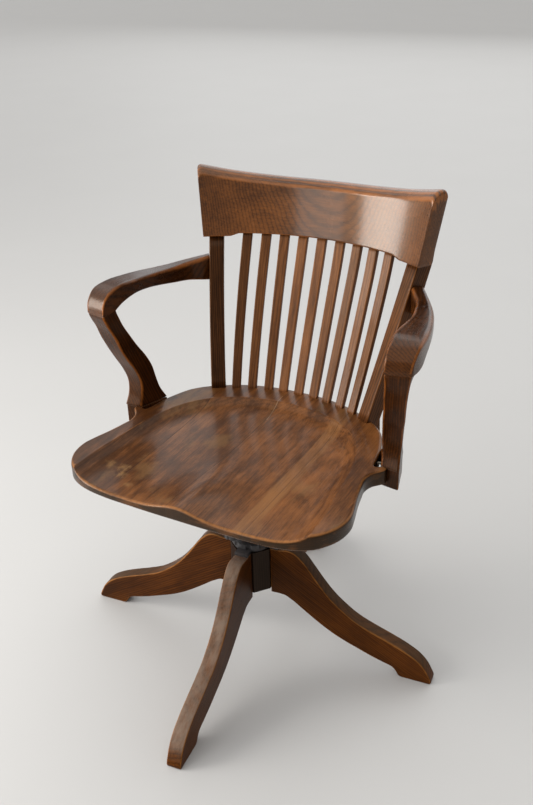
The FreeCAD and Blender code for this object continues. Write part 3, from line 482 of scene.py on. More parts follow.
def wood(name, along, across, pith, spacing, dark, mid, light, worn, seed=0.0, gloss=0.30, coat=0.45, rings=0.55,
         fibre=0.35, warp=0.006, stain=0.35, wear=0.8, boards=None, layer=None, pore=0.5, patch=None, stretch=1.0,
         up_facing_tint=None, edge_dark=0.0, side=None, streak=(11.0, 300.0), spots=(), scratch=None, band=None, board_tilt=0.09,
         coat_rough=0.14, spec=0.32):
    """Varnished hardwood. along: grain direction; across: a second direction; pith: where the growth rings
    centre, in the across / third directions; boards: x positions of glue joints between boards."""
    N = Nodes(name)
    p = N.coords()
    u = np.array(along, float); u /= np.linalg.norm(u)
    v = np.array(across, float); v -= u * (u @ v); v /= np.linalg.norm(v)
    w = np.cross(u, v)
    U = N.vmath("DOT_PRODUCT", p, tuple(u))
    Vv = N.vmath("DOT_PRODUCT", p, tuple(v))
    Wv = N.vmath("DOT_PRODUCT", p, tuple(w))
    offset = seed
    glue = None
    if boards:
        sep = N.new("ShaderNodeSeparateXYZ")
        N.put(sep.inputs[0], p)
        x = sep.outputs[0]
        offset = seed
        tone = None
        for k, b in enumerate(boards):
            step = N.math("GREATER_THAN", x, b)
            offset = N.math("MULTIPLY_ADD", step, 0.37 + 0.21 * k, offset)
            near = N.remap(N.math("ABSOLUTE", N.math("SUBTRACT", x, b)), 0.00025, 0.0011, 1.0, 0.0)
            glue = near if glue is None else N.math("MAXIMUM", glue, near)
    q = N.xyz(U, Vv, Wv)
    # slow wander of the grain along the board
    slow = N.vmath("MULTIPLY", q, (1.7 * stretch, 7.0, 7.0))
    slow = N.vmath("ADD", slow, N.xyz(offset, N.math("MULTIPLY", offset, 3.1), N.math("MULTIPLY", offset, 1.7)))
    n1 = N.noise(slow, 1.0, 2.0, 0.5)
    n2 = N.noise(N.vmath("ADD", slow, (11.3, 4.7, 8.1)), 1.0, 2.0, 0.5)
    dv = N.math("MULTIPLY", N.math("SUBTRACT", n1, 0.5), warp * 2)
    dw = N.math("MULTIPLY", N.math("SUBTRACT", n2, 0.5), warp * 2)
    a = N.math("ADD", N.math("SUBTRACT", Vv, pith[0]), dv)
    b = N.math("ADD", N.math("SUBTRACT", Wv, pith[1]), dw)
    if boards:
        a = N.math("ADD", a, N.math("MULTIPLY", N.math("SUBTRACT", N.math("FRACT", N.math("MULTIPLY", offset, 7.7)), 0.5), board_tilt))
        b = N.math("ADD", b, N.math("MULTIPLY", N.math("FRACT", N.math("MULTIPLY", offset, 5.3)), 0.03))
    r = N.math("SQRT", N.math("ADD", N.math("MULTIPLY", a, a), N.math("MULTIPLY", b, b)))
    if layer is not None:
        # rings so large that they lie as flat layers
        r = N.math("ADD", N.vmath("DOT_PRODUCT", p, tuple(layer)), N.math("ADD", dv, N.math("MULTIPLY", dw, 0.5)))
    fine = N.noise(N.vmath("MULTIPLY", q, (22.0, 160.0, 160.0)), 1.0, 2.0, 0.6)
    phase = N.math("ADD", N.math("MULTIPLY", r, 1.0 / spacing), N.math("MULTIPLY", fine, 0.55))
    # rings vary in width
    phase = N.math("ADD", phase, N.math("MULTIPLY", N.noise(N.xyz(N.math("MULTIPLY", r, 38.0), 2.0, 5.0), 1.0, 1.0), 3.0))
    fr = N.math("FRACT", phase)
    ring = N.ramp(fr, [(0.0, 0.15), (0.12, 0.62), (0.55, 0.80), (0.82, 0.42), (0.93, 0.0), (1.0, 0.10)])
    # fibres and pores drawn out along the grain
    fib = N.noise(N.vmath("MULTIPLY", q, (34.0, 900.0, 900.0)), 1.0, 3.0, 0.65)
    fib2 = N.noise(N.vmath("MULTIPLY", q, (streak[0], streak[1], streak[1])), 1.0, 3.0, 0.6)
    porev = N.noise(N.vmath("MULTIPLY", q, (85.0, 1500.0, 1500.0)), 1.0, 2.0, 0.6)
    pores = N.remap(porev, 0.62, 0.72)
    blotch = N.noise(N.vmath("ADD", N.vmath("MULTIPLY", q, (5.0, 9.0, 9.0)), (seed * 3.3, seed, 2.0)), 1.0, 3.0, 0.55)
    cloud = N.noise(N.vmath("ADD", N.vmath("MULTIPLY", p, (16.0, 16.0, 16.0)), (seed, 5.1, seed * 2)), 1.0, 4.0, 0.6)
    tone = N.math("ADD", N.math("MULTIPLY", N.math("SUBTRACT", ring, 0.5), rings),
                  N.math("MULTIPLY", N.math("SUBTRACT", fib2, 0.5), fibre * 2.2))
    tone = N.math("ADD", tone, N.math("MULTIPLY", N.math("SUBTRACT", fib, 0.5), fibre * 1.3))
    tone = N.math("ADD", tone, N.math("MULTIPLY", N.math("SUBTRACT", blotch, 0.5), stain * 1.8))
    tone = N.math("ADD", tone, N.math("MULTIPLY", N.math("SUBTRACT", cloud, 0.5), stain * 0.8))
    if boards:
        mott = N.noise(N.vmath("MULTIPLY", p, (64.0, 15.0, 50.0)), 1.0, 6.0, 0.72)
        tone = N.math("ADD", tone, N.math("MULTIPLY", N.math("SUBTRACT", mott, 0.5), 1.05))
        per = N.math("SUBTRACT", N.math("FRACT", N.math("MULTIPLY", offset, 3.77)), 0.5)
        tone = N.math("ADD", tone, N.math("MULTIPLY", per, 0.34))
    tone = N.math("ADD", tone, 0.5)
    col = N.ramp(tone, [(0.0, dark), (0.42, mid), (0.78, light), (1.0, tuple(min(1, c * 1.35) for c in light))])
    col = N.mix(N.math("MULTIPLY", pores, pore), col, tuple(c * 0.45 for c in dark))
    rough_add = N.math("MULTIPLY", N.math("SUBTRACT", cloud, 0.5), 0.16)
    if band is not None:
        sepb = N.new("ShaderNodeSeparateXYZ")
        N.put(sepb.inputs[0], p)
        xb = N.math("ADD", sepb.outputs[0], N.math("MULTIPLY", N.math("SUBTRACT", fib2, 0.5), 0.006))
        bm = N.math("MULTIPLY", N.remap(xb, band[0], band[0] + 0.003), N.remap(xb, band[1] - 0.006, band[1], 1.0, 0.0))
        bm = N.math("MULTIPLY", bm, N.remap(N.math("ADD", blotch, N.math("MULTIPLY", fib2, 0.5)), 0.55, 0.95, 0.15, band[3]))
        col = N.mix(bm, col, band[2])
    for (sx, sy, sr, amount) in spots:
        d = N.vmath("DISTANCE", N.vmath("MULTIPLY", p, (1, 1, 0)), (sx, sy, 0.0))
        ragged = N.noise(N.vmath("MULTIPLY", p, (110.0, 70.0, 90.0)), 1.0, 5.0, 0.7)
        d = N.math("ADD", d, N.math("MULTIPLY", N.math("SUBTRACT", ragged, 0.5), sr * 3.0))
        sm = N.math("MULTIPLY", N.remap(d, sr * 0.1, sr * 1.05, 1.0, 0.0), amount)
        sm = N.math("MULTIPLY", sm, N.remap(fib2, 0.35, 0.6, 0.45, 1.0))
        col = N.mix(sm, col, (0.34, 0.185, 0.070))
        rough_add = N.math("ADD", rough_add, N.math("MULTIPLY", sm, 0.2))
    cut = None
    if scratch is not None:
        (ax, ay), (bx, by) = scratch
        L2 = (bx - ax) ** 2 + (by - ay) ** 2
        rel = N.vmath("MULTIPLY", N.vmath("SUBTRACT", p, (ax, ay, 0.0)), (1, 1, 0))
        tt = N.math("DIVIDE", N.vmath("DOT_PRODUCT", rel, (bx - ax, by - ay, 0.0)), L2, clamp=True)
        foot = N.xyz(N.math("MULTIPLY", tt, bx - ax), N.math("MULTIPLY", tt, by - ay), 0.0)
        dd = N.vmath("DISTANCE", rel, foot)
        dd = N.math("ADD", dd, N.math("MULTIPLY", N.math("SUBTRACT", fib2, 0.5), 0.0012))
        cut = N.remap(dd, 0.0006, 0.0014, 1.0, 0.0)
        col = N.mix(N.math("MULTIPLY", cut, 0.42), col, (0.36, 0.22, 0.12))
    if patch is not None:
        pn = N.noise(N.vmath("ADD", N.vmath("MULTIPLY", p, patch[1]), (seed, 1.0, 2.2)), 1.0, 5.0, 0.62)
        pm = N.remap(pn, patch[2], patch[2] + 0.09, 0.0, patch[3])
        col = N.mix(pm, col, patch[0])
        rough_add = N.math("ADD", rough_add, N.math("MULTIPLY", pm, 0.15))
    if glue is not None:
        col = N.mix(N.math("MULTIPLY", glue, 0.45), col, tuple(c * 0.35 for c in dark))
    # the wear attribute holds edge wear; on the seat its negative values hold painted shade
    wr = N.attr("wear")
    if boards:
        # negative wear values, set just inside the seat's rim, darken the dish there: painted shade
        rim_hollow_shade = N.remap(wr, -1.0, 0.0, 0.62, 0.0)
        col = N.mix(N.math("MULTIPLY", rim_hollow_shade, N.remap(cloud, 0.25, 0.65, 0.55, 1.0)), col, tuple(c * 0.9 for c in dark))
    wn = N.noise(N.vmath("MULTIPLY", q, (30.0, 90.0, 90.0)), 1.0, 4.0, 0.7)
    wn2 = N.noise(N.vmath("MULTIPLY", p, (7.0, 7.0, 7.0)), 1.0, 2.0, 0.5)
    wm = N.math("ADD", N.math("MULTIPLY", wr, 0.85), N.math("MULTIPLY", N.math("SUBTRACT", wn, 0.5), 0.8))
    wm = N.math("ADD", wm, N.math("MULTIPLY", N.math("SUBTRACT", wn2, 0.5), 0.9))
    wm = N.math("MULTIPLY", N.remap(wm, 0.55, 0.95), wear)
    wm = N.math("MULTIPLY", wm, N.remap(wr, 0.05, 0.35))
    if edge_dark > 0:
        col = N.mix(N.math("MULTIPLY", N.remap(wr, 0.1, 0.9), edge_dark), col, dark)
    col = N.mix(wm, col, worn)
    # side: faces whose normal lies near horizontal are mixed toward a near-black colour with orange flecks, painted
    # shade on the seat's edge faces
    if side is not None:
        geo = N.new("ShaderNodeTexCoord")
        az = N.math("ABSOLUTE", N.vmath("DOT_PRODUCT", geo.outputs["Normal"], (0, 0, 1)))
        edge_face_shade = N.math("MULTIPLY", N.remap(az, 0.35, 0.75, 1.0, 0.0), side[1])
        edge_shade_noise = N.remap(N.noise(N.vmath("MULTIPLY", p, (22.0, 22.0, 60.0)), 1.0, 4.0, 0.6), 0.50, 0.66, 0.0, 0.75)
        col = N.mix(edge_face_shade, col, N.mix(edge_shade_noise, side[0], side[2]))
    if up_facing_tint is not None:
        # surfaces that face up are mixed toward a paler, greyer colour and made rougher
        geo = N.new("ShaderNodeTexCoord")
        nz = N.vmath("DOT_PRODUCT", geo.outputs["Normal"], (0, 0, 1))
        up_facing_mix = N.math("MULTIPLY", N.remap(nz, up_facing_tint[1], up_facing_tint[1] + 0.25),
                       N.remap(N.noise(N.vmath("MULTIPLY", q, (26.0, 60.0, 60.0)), 1.0, 5.0, 0.7), 0.32, 0.62, 0.25, up_facing_tint[2]))
        col = N.mix(up_facing_mix, col, up_facing_tint[0])
        rough_add = N.math("ADD", rough_add, N.math("MULTIPLY", up_facing_mix, 0.18))
    N.put(N.bsdf.inputs["Base Color"], col)
    rough = N.math("ADD", N.math("ADD", rough_add, gloss), N.math("MULTIPLY", pores, 0.12), clamp=True)
    N.put(N.bsdf.inputs["Roughness"], rough)
    N.bsdf.inputs["Coat Weight"].default_value = coat
    N.bsdf.inputs["Coat Roughness"].default_value = coat_rough
    N.bsdf.inputs["Coat IOR"].default_value = 1.45
    N.bsdf.inputs["Specular IOR Level"].default_value = spec
    N.bsdf.inputs["Specular Tint"].default_value = (1.0, 0.66, 0.42, 1.0)
    h = N.math("SUBTRACT", N.math("MULTIPLY", fib2, 0.30), N.math("MULTIPLY", pores, 0.55))
    h = N.math("ADD", h, N.math("MULTIPLY", ring, 0.25))
    h = N.math("ADD", h, N.math("MULTIPLY", cloud, 1.1))
    if glue is not None:
        h = N.math("SUBTRACT", h, N.math("MULTIPLY", glue, 1.0))
    N.put(N.bsdf.inputs["Normal"], N.bump(h, 0.35, 0.0005))
    return N.mat


def metal(name, base, rust, rough=0.45, metallic=0.85, seed=0.0, rusty=0.35, grit=0.4):
    N = Nodes(name)
    p = N.coords()
    n = N.noise(N.vmath("ADD", N.vmath("MULTIPLY", p, (45.0, 45.0, 45.0)), (seed, 1, 2)), 1.0, 5.0, 0.65)
    m = N.noise(N.vmath("MULTIPLY", p, (420.0, 420.0, 420.0)), 1.0, 3.0, 0.6)
    big = N.noise(N.vmath("MULTIPLY", p, (14.0, 14.0, 14.0)), 1.0, 3.0, 0.5)
    mask = N.remap(N.math("ADD", n, N.math("MULTIPLY", N.math("SUBTRACT", big, 0.5), 0.6)), 0.54, 0.72, 0.0, rusty)
    col = N.ramp(m, [(0.25, tuple(c * 0.7 for c in base)), (0.75, tuple(c * 1.25 for c in base))])
    geo = N.new("ShaderNodeNewGeometry")
    edge = N.remap(geo.outputs["Pointiness"], 0.52, 0.60, 0.0, 0.55)
    col = N.mix(edge, col, tuple(min(1, c * 2.6 + 0.03) for c in base))
    col = N.mix(mask, col, rust)
    N.put(N.bsdf.inputs["Base Color"], col)
    N.put(N.bsdf.inputs["Metallic"], N.math("SUBTRACT", metallic, N.math("MULTIPLY", mask, 0.8), clamp=True))
    N.put(N.bsdf.inputs["Roughness"], N.math("ADD", rough, N.math("ADD", N.math("MULTIPLY", N.math("SUBTRACT", n, 0.5), 0.3),
                                                                 N.math("MULTIPLY", mask, 0.3)), clamp=True))
    h = N.math("ADD", N.math("MULTIPLY", m, 0.5), n)
    N.put(N.bsdf.inputs["Normal"], N.bump(h, grit, 0.0004))
    return N.mat


# palettes, in linear light
RAIL = dict(dark=(0.013, 0.0040, 0.0013), mid=(0.060, 0.0185, 0.0045), light=(0.170, 0.055, 0.0110), worn=(0.36, 0.115, 0.022))
ARM = dict(dark=(0.005, 0.0014, 0.0004), mid=(0.026, 0.0072, 0.0013), light=(0.080, 0.0225, 0.0036), worn=(0.30, 0.090, 0.016))
SLAT = dict(dark=(0.026, 0.0085, 0.0030), mid=(0.110, 0.0375, 0.0115), light=(0.210, 0.078, 0.0240), worn=(0.28, 0.105, 0.030))
POST = dict(dark=(0.014, 0.0046, 0.0018), mid=(0.054, 0.0180, 0.0055), light=(0.135, 0.046, 0.0130), worn=(0.32, 0.115, 0.028))
LEG = dict(dark=(0.009, 0.0025, 0.0005), mid=(0.044, 0.0118, 0.0015), light=(0.105, 0.0300, 0.0038), worn=(0.34, 0.130, 0.030))
SEAT = dict(dark=(0.014, 0.0044, 0.0013), mid=(0.076, 0.0255, 0.0066), light=(0.195, 0.070, 0.0190), worn=(0.34, 0.135, 0.038))

MM = 0.001

# ------------------------------------------------------------- back geometry
Z0, Z1 = 0.460, 0.742


def back_R(z):
    return 0.300 + (min(z, 0.743) - Z0) * (0.127 / (Z1 - Z0)) + max(z - 0.743, 0.0) * 0.264


def back_c(z):
    return -0.104 - (z - Z0) * (0.018 / (Z1 - Z0))


def on_back(deg, z, depth, across=0.0):
    a = math.radians(deg)
    r = back_R(z) + depth
    return (r * math.sin(a) + across * math.cos(a), back_c(z) + r * math.cos(a) - across * math.sin(a), z)


def back_section(deg, z, front, rear, width):
    return [on_back(deg, z, front, -width / 2), on_back(deg, z, front, width / 2),
            on_back(deg, z, rear, width / 2), on_back(deg, z, rear, -width / 2)]


def mirrored(points):
    P = np.array(points, float)
    P[..., 0] *= -1
    return P


# ---- slats
FOOT = [-24.6, -18.5, -12.1, -6.3, 0.0, 6.3, 12.1, 18.5, 24.6]
HEAD = [-20.42, -15.35, -10.39, -5.24, 0.0, 5.24, 10.39, 15.35, 20.42]
# each slat's palette is scaled by its own factor: partly slat-to-slat tone, partly painted light and shade (lighter
# middle slats, darker slats at -x)
slat_tone_and_shade = [0.62, 0.78, 0.95, 1.12, 1.18, 1.05, 0.82, 0.98, 0.92]
for i in range(9):
    st = []
    for z in np.linspace(0.452, 0.752, 7):
        k = (z - Z0) / (Z1 - Z0)
        w = 0.018 + 0.0015 * min(max(k, 0), 1)
        st.append(back_section(FOOT[i] + k * (HEAD[i] - FOOT[i]), z, 0.0, 0.0098, w))
    o = sweep("slat_wood_%d" % (i + 1), st, [0.0016] * 4, n=24, seg=3, caps=(0, 0))
    k = slat_tone_and_shade[i]
    pal = {a: tuple(c * (k if a != "dark" else 1) for c in b) for a, b in SLAT.items()}
    o.data.materials.append(wood("slat_finish_%d" % (i + 1), (0.02 * (i - 4), 0.40, 1.0), (1, 0, 0), (0.03 - 0.012 * i, 0.16 + 0.01 * i), 0.0036,
                                 seed=i * 1.7, gloss=0.38, coat=0.10, rings=0.34, fibre=0.44, wear=0.35, spec=0.24, **pal))
    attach(o, "seat")
    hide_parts("slat_%d" % (i + 1))


# ---- posts: rebated foot, halved head behind the rail
def post_angle(z):
    return 31.4 + (z - Z0) * (28.7 - 31.4) / (Z1 - Z0)


def post_parts(side):
    # one stick, sections front-left, front-right, rear-right, rear-left
    w, d = 0.029, 0.038
    st = []
    for z in (0.420, 0.4585):
        st.append(back_section(post_angle(Z0), z, 0.008 + (z - Z0) * -0.45, 0.034 + (z - Z0) * -0.45, w))
    st.append(back_section(post_angle(Z0), 0.4605, 0.0, 0.034, w))
    for z in np.linspace(0.475, 0.7415, 12):
        st.append(back_section(post_angle(z), z, 0.0, 0.034 + 0.004 * min(1, (z - 0.46) / 0.14), w))
    st.append(back_section(post_angle(0.7435), 0.7435, 0.0205, d, w))
    for z in np.linspace(0.76, 0.846, 5):
        st.append(back_section(post_angle(z), z, 0.0205, d, w))
    st.append(back_section(post_angle(0.854), 0.854, 0.0205, d - 0.003, w - 0.003))
    st.append(back_section(post_angle(0.861), 0.861, 0.0205, d - 0.010, w - 0.010))
    return np.array(st) if side > 0 else mirrored(st)


for side, nm in ((1, "left"), (-1, "right")):
    o = sweep("post_wood_" + nm, post_parts(side), [0.0025, 0.0025, 0.004, 0.004], n=None, seg=4, caps=(0.002, 0.002))
    # the post at -x gets the palette scaled to 0.62, painted shade on the post whose front faces away from the window
    dark = 0.62 if side < 0 else 1.0
    pal = {a: tuple(c * dark for c in b) for a, b in POST.items()}
    o.data.materials.append(wood("post_finish_" + nm, (0.2 * side, 0.40, 1.0), (1, -0.5, 0), (0.12, 0.05), 0.004, seed=3.0 + side,
                                 gloss=0.36, coat=0.10, wear=0.5, spec=0.18, **pal))
    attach(o, "seat")
    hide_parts("back_post_" + nm)

# ---- crest rail
HALF = 32.3


def rail_underside(x):
    # end blocks hang a little lower than the middle, with a small ogee between
    a = abs(x)
    t = min(max((a - 0.158) / 0.020, 0.0), 1.0)
    s = t * t * (3 - 2 * t)
    return 0.7485 - 0.0055 * s


def rail_section(deg):
    s = abs(deg) / HALF
    zt = 0.852 + 0.026 * s ** 2.6
    e = min(max((s - 0.955) / 0.045, 0.0), 1.0)
    zt -= 0.0130 * (1 - math.sqrt(max(0.0, 1 - e * e)))
    zc = zt - (0.0100 + 0.003 * s * s)
    f, r = -0.010, 0.021
    x = on_back(deg, 0.743, f)[0]
    zb = rail_underside(x)
    return [on_back(deg, zb, f), on_back(deg, zc, f), on_back(deg, zt - 0.0035, f + 0.0075),
            on_back(deg, zt, f + 0.016), on_back(deg, zt, r - 0.006), on_back(deg, zt - 0.005, r),
            on_back(deg, zb, r)]


degs = HALF * np.sin(np.linspace(-math.pi / 2, math.pi / 2, 121) * 0.92) / math.sin(math.pi / 2 * 0.92)
rail_st = [rail_section(d) for d in degs]
o = sweep("rail_wood", rail_st, [0.003, 0.0095, 0.006, 0.006, 0.004, 0.005, 0.003], n=None, seg=6, caps=(0.0070, 0.0070), cap_wear=0.65)
o.data.materials.append(wood("rail_finish", (1, 0, 0), (0, 1, 0), (0, 0), 0.0027, seed=2.0, gloss=0.26, coat=0.60, rings=0.30,
                             fibre=0.26, warp=0.0075, layer=(0.03, 1.0, -0.10), stain=0.55, wear=0.60, stretch=1.6, spec=0.40, **RAIL))
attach(o, "seat")
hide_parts("crest_rail")

# ------------------------------------------------------------------ the arms
REST = [
    ((222, 266, 704), (205, 243, 706), 655), ((235, 246, 703), (218, 223, 705), 657), ((254, 212, 703), (237, 191, 700), 664),
    ((273, 178, 701), (247, 156, 700), 669), ((288, 143, 702), (255, 120, 702), 675),
    ((300, 106, 705), (258, 83, 706), 681), ((310, 69, 707), (260, 46, 710), 683),
    ((316, 31, 708.5), (265, 9, 712), 675), ((317.8, 11, 707.5), (268, -8, 708), 666.5),
    ((318, -8, 702.5), (270, -25, 700), 664.4), ((317, -20, 693.5), (271, -33.5, 690), 664.4),
    ((316, -27.5, 683), (271.5, -38, 680), 664.4), ((314.5, -30.5, 672.5), (272, -39.3, 670.5), 664.4),
]
UPRIGHT = [
    (674, (272.5, -31), (312, -24.5), (314.5, 3), (268.5, -5)),
    (664.3, (272, -39.2), (314.4, -30.4), (313.5, 3), (267, -5)),
    (652, (271.2, -35.8), (312.6, -27.5), (307, 6), (264.5, -2)),
    (638, (269.5, -30), (309.5, -22), (300.5, 9.5), (260.5, 1)),
    (614, (265, -19), (305, -16), (295, 16), (255, 12)),
    (588, (262, -10), (300, -6), (288.5, 30), (250.5, 26)),
    (562, (257, 1), (295, 6), (282, 45), (244, 41)),
    (537, (252, 14), (289, 17), (277, 56), (240, 52)),
    (510, (249, 22), (285, 25), (273.5, 62), (237.5, 58)),
    (483, (250, 22), (284, 22), (270, 69), (235, 66)),
    (461, (251, 17), (286, 12), (268, 79), (230, 77)),
]
TONGUE = [(251.2, 19.4), (285, 14.4), (268.4, 75.5), (227.5, 74)]
for side, nm in ((1, "left"), (-1, "right")):
    st = []
    for oo, ii, zb in REST[1:]:
        st.append([oo, ii, (ii[0], ii[1], zb), (oo[0], oo[1], zb)])
    st = np.array(st) * MM
    # run the rear end a little into the post
    st = np.concatenate([[st[0] + (st[0] - st[1]) * 0.30], st])
    up = np.array([[(p[0], p[1], z) for p in pts] for z, *pts in UPRIGHT]) * MM
    tg = np.array([[(p[0], p[1], z) for p in TONGUE] for z in (459.5, 440, 420)]) * MM
    if side < 0:
        st, up, tg = mirrored(st), mirrored(up), mirrored(tg)
    rad = [[0.0080, 0.0080, 0.004, 0.004]] * 9 + [[0.0070, 0.0070, 0.003, 0.003]] * 2 + [[0.0045, 0.0045, 0.0015, 0.0015]] * 2
    o = sweep("arm_rest_wood_" + nm, st, rad, n=90, seg=5, caps=(0, 0.0003), cap_wear=0.0)
    o.data.materials.append(wood("arm_rest_finish_" + nm, (0.25 * side, -1, 0), (1, 0, 0), (0.20, 0.55), 0.0042, seed=6.0 + side, gloss=0.27, coat=0.22, spec=0.28,
                                 rings=0.36, fibre=0.28, wear=0.75, stain=0.5, **ARM))
    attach(o, "seat")
    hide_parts("arm_rest_" + nm)
    o = sweep("arm_upright_wood_" + nm, up, [0.0040, 0.0040, 0.0035, 0.0035], n=72, seg=4, caps=(0, 0.0003), cap_wear=0.0)
    o.data.materials.append(wood("arm_upright_finish_" + nm, (0.15 * side, -0.35, 1), (0, 1, 0), (0.10, 0.30), 0.0045, seed=9.0 + side, gloss=0.29, coat=0.08, spec=0.18,
                                 rings=0.36, fibre=0.28, wear=0.75, stain=0.5, **ARM))
    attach(o, "seat")
    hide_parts("arm_upright_" + nm)
    t = sweep("arm_tongue_wood_" + nm, tg, [0.003] * 4, n=12, seg=4, caps=(0, 0.004), straight=True, cap_wear=0.6)
    t.data.materials.append(o.data.materials[0])
    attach(t, "seat")

# ------------------------------------------------------------------ the seat
OUTLINE = [
    (0, 210), (43, 208.5), (74, 203.5), (104, 195.5), (132, 184), (152, 173), (175, 158), (195, 141), (209, 123), (220, 98),
    (230, 67), (235, 40), (237.5, 20), (241, 14), (247, 15.5), (253, 19.5), (261, 19.0), (262, 10),
    (256.5, 2), (247, -11), (242, -31), (245, -50), (252, -83), (261, -115), (266.5, -142), (264, -167),
    (256, -188), (238, -212), (216, -226), (187, -235), (150, -240), (100, -242), (50, -243), (0, -243),
]
RIM = [(229, -330), (228.5, -213), (225, -137), (218, -83), (210, -20), (198, 30), (176, 75), (146, 108), (100, 135),
       (50, 149), (0, 155)]


def closed_smooth(half, per=8):
    # the whole closed line from its right half, smoothed
    P = np.array(half, float)
    left = P[1:-1][::-1].copy()
    left[:, 0] *= -1
    Q = np.vstack([P, left])
    k = len(Q)
    out = []
    for i in range(k):
        p0, p1, p2, p3 = Q[i - 1], Q[i], Q[(i + 1) % k], Q[(i + 2) % k]
        t0, t1, t2, t3 = 0.0, 0, 0, 0
        t1 = t0 + np.linalg.norm(p1 - p0) ** 0.5
        t2 = t1 + np.linalg.norm(p2 - p1) ** 0.5
        t3 = t2 + np.linalg.norm(p3 - p2) ** 0.5
        for s in range(per):
            t = t1 + (t2 - t1) * s / per
            A1 = (t1 - t) / (t1 - t0) * p0 + (t - t0) / (t1 - t0) * p1
            A2 = (t2 - t) / (t2 - t1) * p1 + (t - t1) / (t2 - t1) * p2
            A3 = (t3 - t) / (t3 - t2) * p2 + (t - t2) / (t3 - t2) * p3
            B1 = (t2 - t) / (t2 - t0) * A1 + (t - t0) / (t2 - t0) * A2
            B2 = (t3 - t) / (t3 - t1) * A2 + (t - t1) / (t3 - t1) * A3
            out.append((t2 - t) / (t2 - t1) * B1 + (t - t1) / (t2 - t1) * B2)
    return np.array(out)


rim_line = hermite(np.array(RIM, float)[:, :], 120) * MM
rim_full = np.vstack([rim_line, (rim_line[:-1] * np.array([-1, 1]))[::-1]])   # open at the front


def rim_distance(x, y):
    ax = np.abs(x)
    q = np.stack([ax, y], 1)
    L = np.vstack([rim_line, [[-0.03, rim_line[-1][1]]]])
    best = np.full(len(q), 1e9)
    sign = np.zeros(len(q))
    for i in range(len(L) - 1):
        a, d = L[i], L[i + 1] - L[i]
        t = np.clip(((q - a) @ d) / max(d @ d, 1e-18), 0, 1)
        e = q - a - t[:, None] * d
        dist = np.linalg.norm(e, axis=1)
        s = d[0] * (q[:, 1] - a[1]) - d[1] * (q[:, 0] - a[0]) > 0
        better = dist < best
        best = np.where(better, dist, best)
        sign = np.where(better, np.where(s, 1.0, -1.0), sign)
    return best * sign


def seat_top(x, y):
    x, y = np.atleast_1d(x).astype(float), np.atleast_1d(y).astype(float)
    s = rim_distance(x, y)
    s = (s + np.sqrt(s * s + 0.0008 ** 2)) / 2 - 0.0003 * np.exp(-np.abs(s) / 0.003)
    s = np.maximum(s, 0)
    dish = 0.0155 * (1 - np.exp(-s / 0.022))
    ahead = np.clip((-y - 0.02) / 0.20, 0, 1)
    ahead = ahead * ahead * (3 - 2 * ahead)
    ridge = 0.80 * ahead * np.exp(-(x / 0.046) ** 2)
    return 0.460 - dish * (1 - ridge)


def seat_under(x, y):
    x, y = np.atleast_1d(x).astype(float), np.atleast_1d(y).astype(float)
    d = edge_dist(x, y)
    t = np.clip((d - 0.006) / 0.030, 0, 1)
    return 0.431 - 0.011 * t


seat_outline = resample_closed(closed_smooth(OUTLINE), 3.0) * MM
if area2(seat_outline) < 0:
    seat_outline = seat_outline[::-1]


def edge_dist(x, y):
    return dist_poly(seat_outline[::3], np.stack([x, y], 1))


near_ear = np.clip(1 - np.abs(seat_outline[:, 1] - 0.012) / 0.022, 0, 1) * (np.abs(seat_outline[:, 0]) > 0.236)
r_top = 0.0052 * (1 - near_ear) + 0.0022 * near_ear
r_bot = 0.0045 * (1 - near_ear) + 0.0020 * near_ear
nr = vertex_normals_2d(np.vstack([rim_full]))
extra = []
for off in (-0.0045, -0.0018, 0.0, 0.0018, 0.0045, 0.009):
    e = rim_line[1:] - rim_line[:-1]
    nn = unit(np.stack([-e[:, 1], e[:, 0]], 1))
    pts = rim_line[:-1] + nn * off
    pts = pts[pts[:, 1] > -0.245]
    pts = pts[pts[:, 0] > 0.001]
    extra += [tuple(p) for p in pts] + [(-p[0], p[1]) for p in pts]


def seat_wear_and_shade(W):
    s = rim_distance(W[:, 0], W[:, 1])
    top = W[:, 2] > 0.440
    crest = np.exp(-((s + 0.0016) / 0.0030) ** 2) * 0.65
    # inside the rim the value turns negative and fades inward over about 12 mm; the seat finish turns it into painted
    # shade in the dish
    crest = np.where(s > 0.0006, -np.exp(-((s - 0.0006) / 0.012)) * np.clip((W[:, 1] + 0.27) / 0.06, 0, 1), crest)
    front = np.exp(-((W[:, 1] + 0.235) / 0.02) ** 2) * 0.15
    return np.where(top, crest + front, 0)


SPOTS = [(-0.160, -0.162, 0.014, 0.60), (-0.153, -0.183, 0.011, 0.5), (-0.189, -0.164, 0.012, 0.5), (-0.124, -0.203, 0.009, 0.4)]
SCRATCH = ((-0.023, 0.176), (-0.018, 0.100))
seat = plate("seat_wood", seat_outline, seat_top, seat_under, r_top, r_bot, 0.0075,
             lambda W: W, seg=5, extra_pts=np.array(extra), side_loops=3, wear_and_shade_fn=seat_wear_and_shade)
# side= paints shade on the seat's upright edge faces
seat.data.materials.append(wood("seat_finish", (0, 1, 0), (1, 0, 0), (0.10, 0.22), 0.0046, seed=4.0, gloss=0.35, coat=0.22, spec=0.24, rings=0.15,
                                fibre=0.22, stain=0.55, warp=0.012, wear=0.70, boards=(-0.148, -0.019, 0.123),
                                patch=((0.21, 0.105, 0.036), (13.0, 8.0, 10.0), 0.57, 0.42), streak=(14.0, 420.0), board_tilt=0.45,
                                side=((0.010, 0.0048, 0.0011), 0.92, (0.105, 0.036, 0.007)),
                                spots=SPOTS, scratch=SCRATCH, band=(0.102, 0.136, (0.25, 0.115, 0.040), 0.62), **SEAT))
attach(seat, "seat")
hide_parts("seat_board_right", "seat_board_mid_right", "seat_board_mid_left", "seat_board_left")

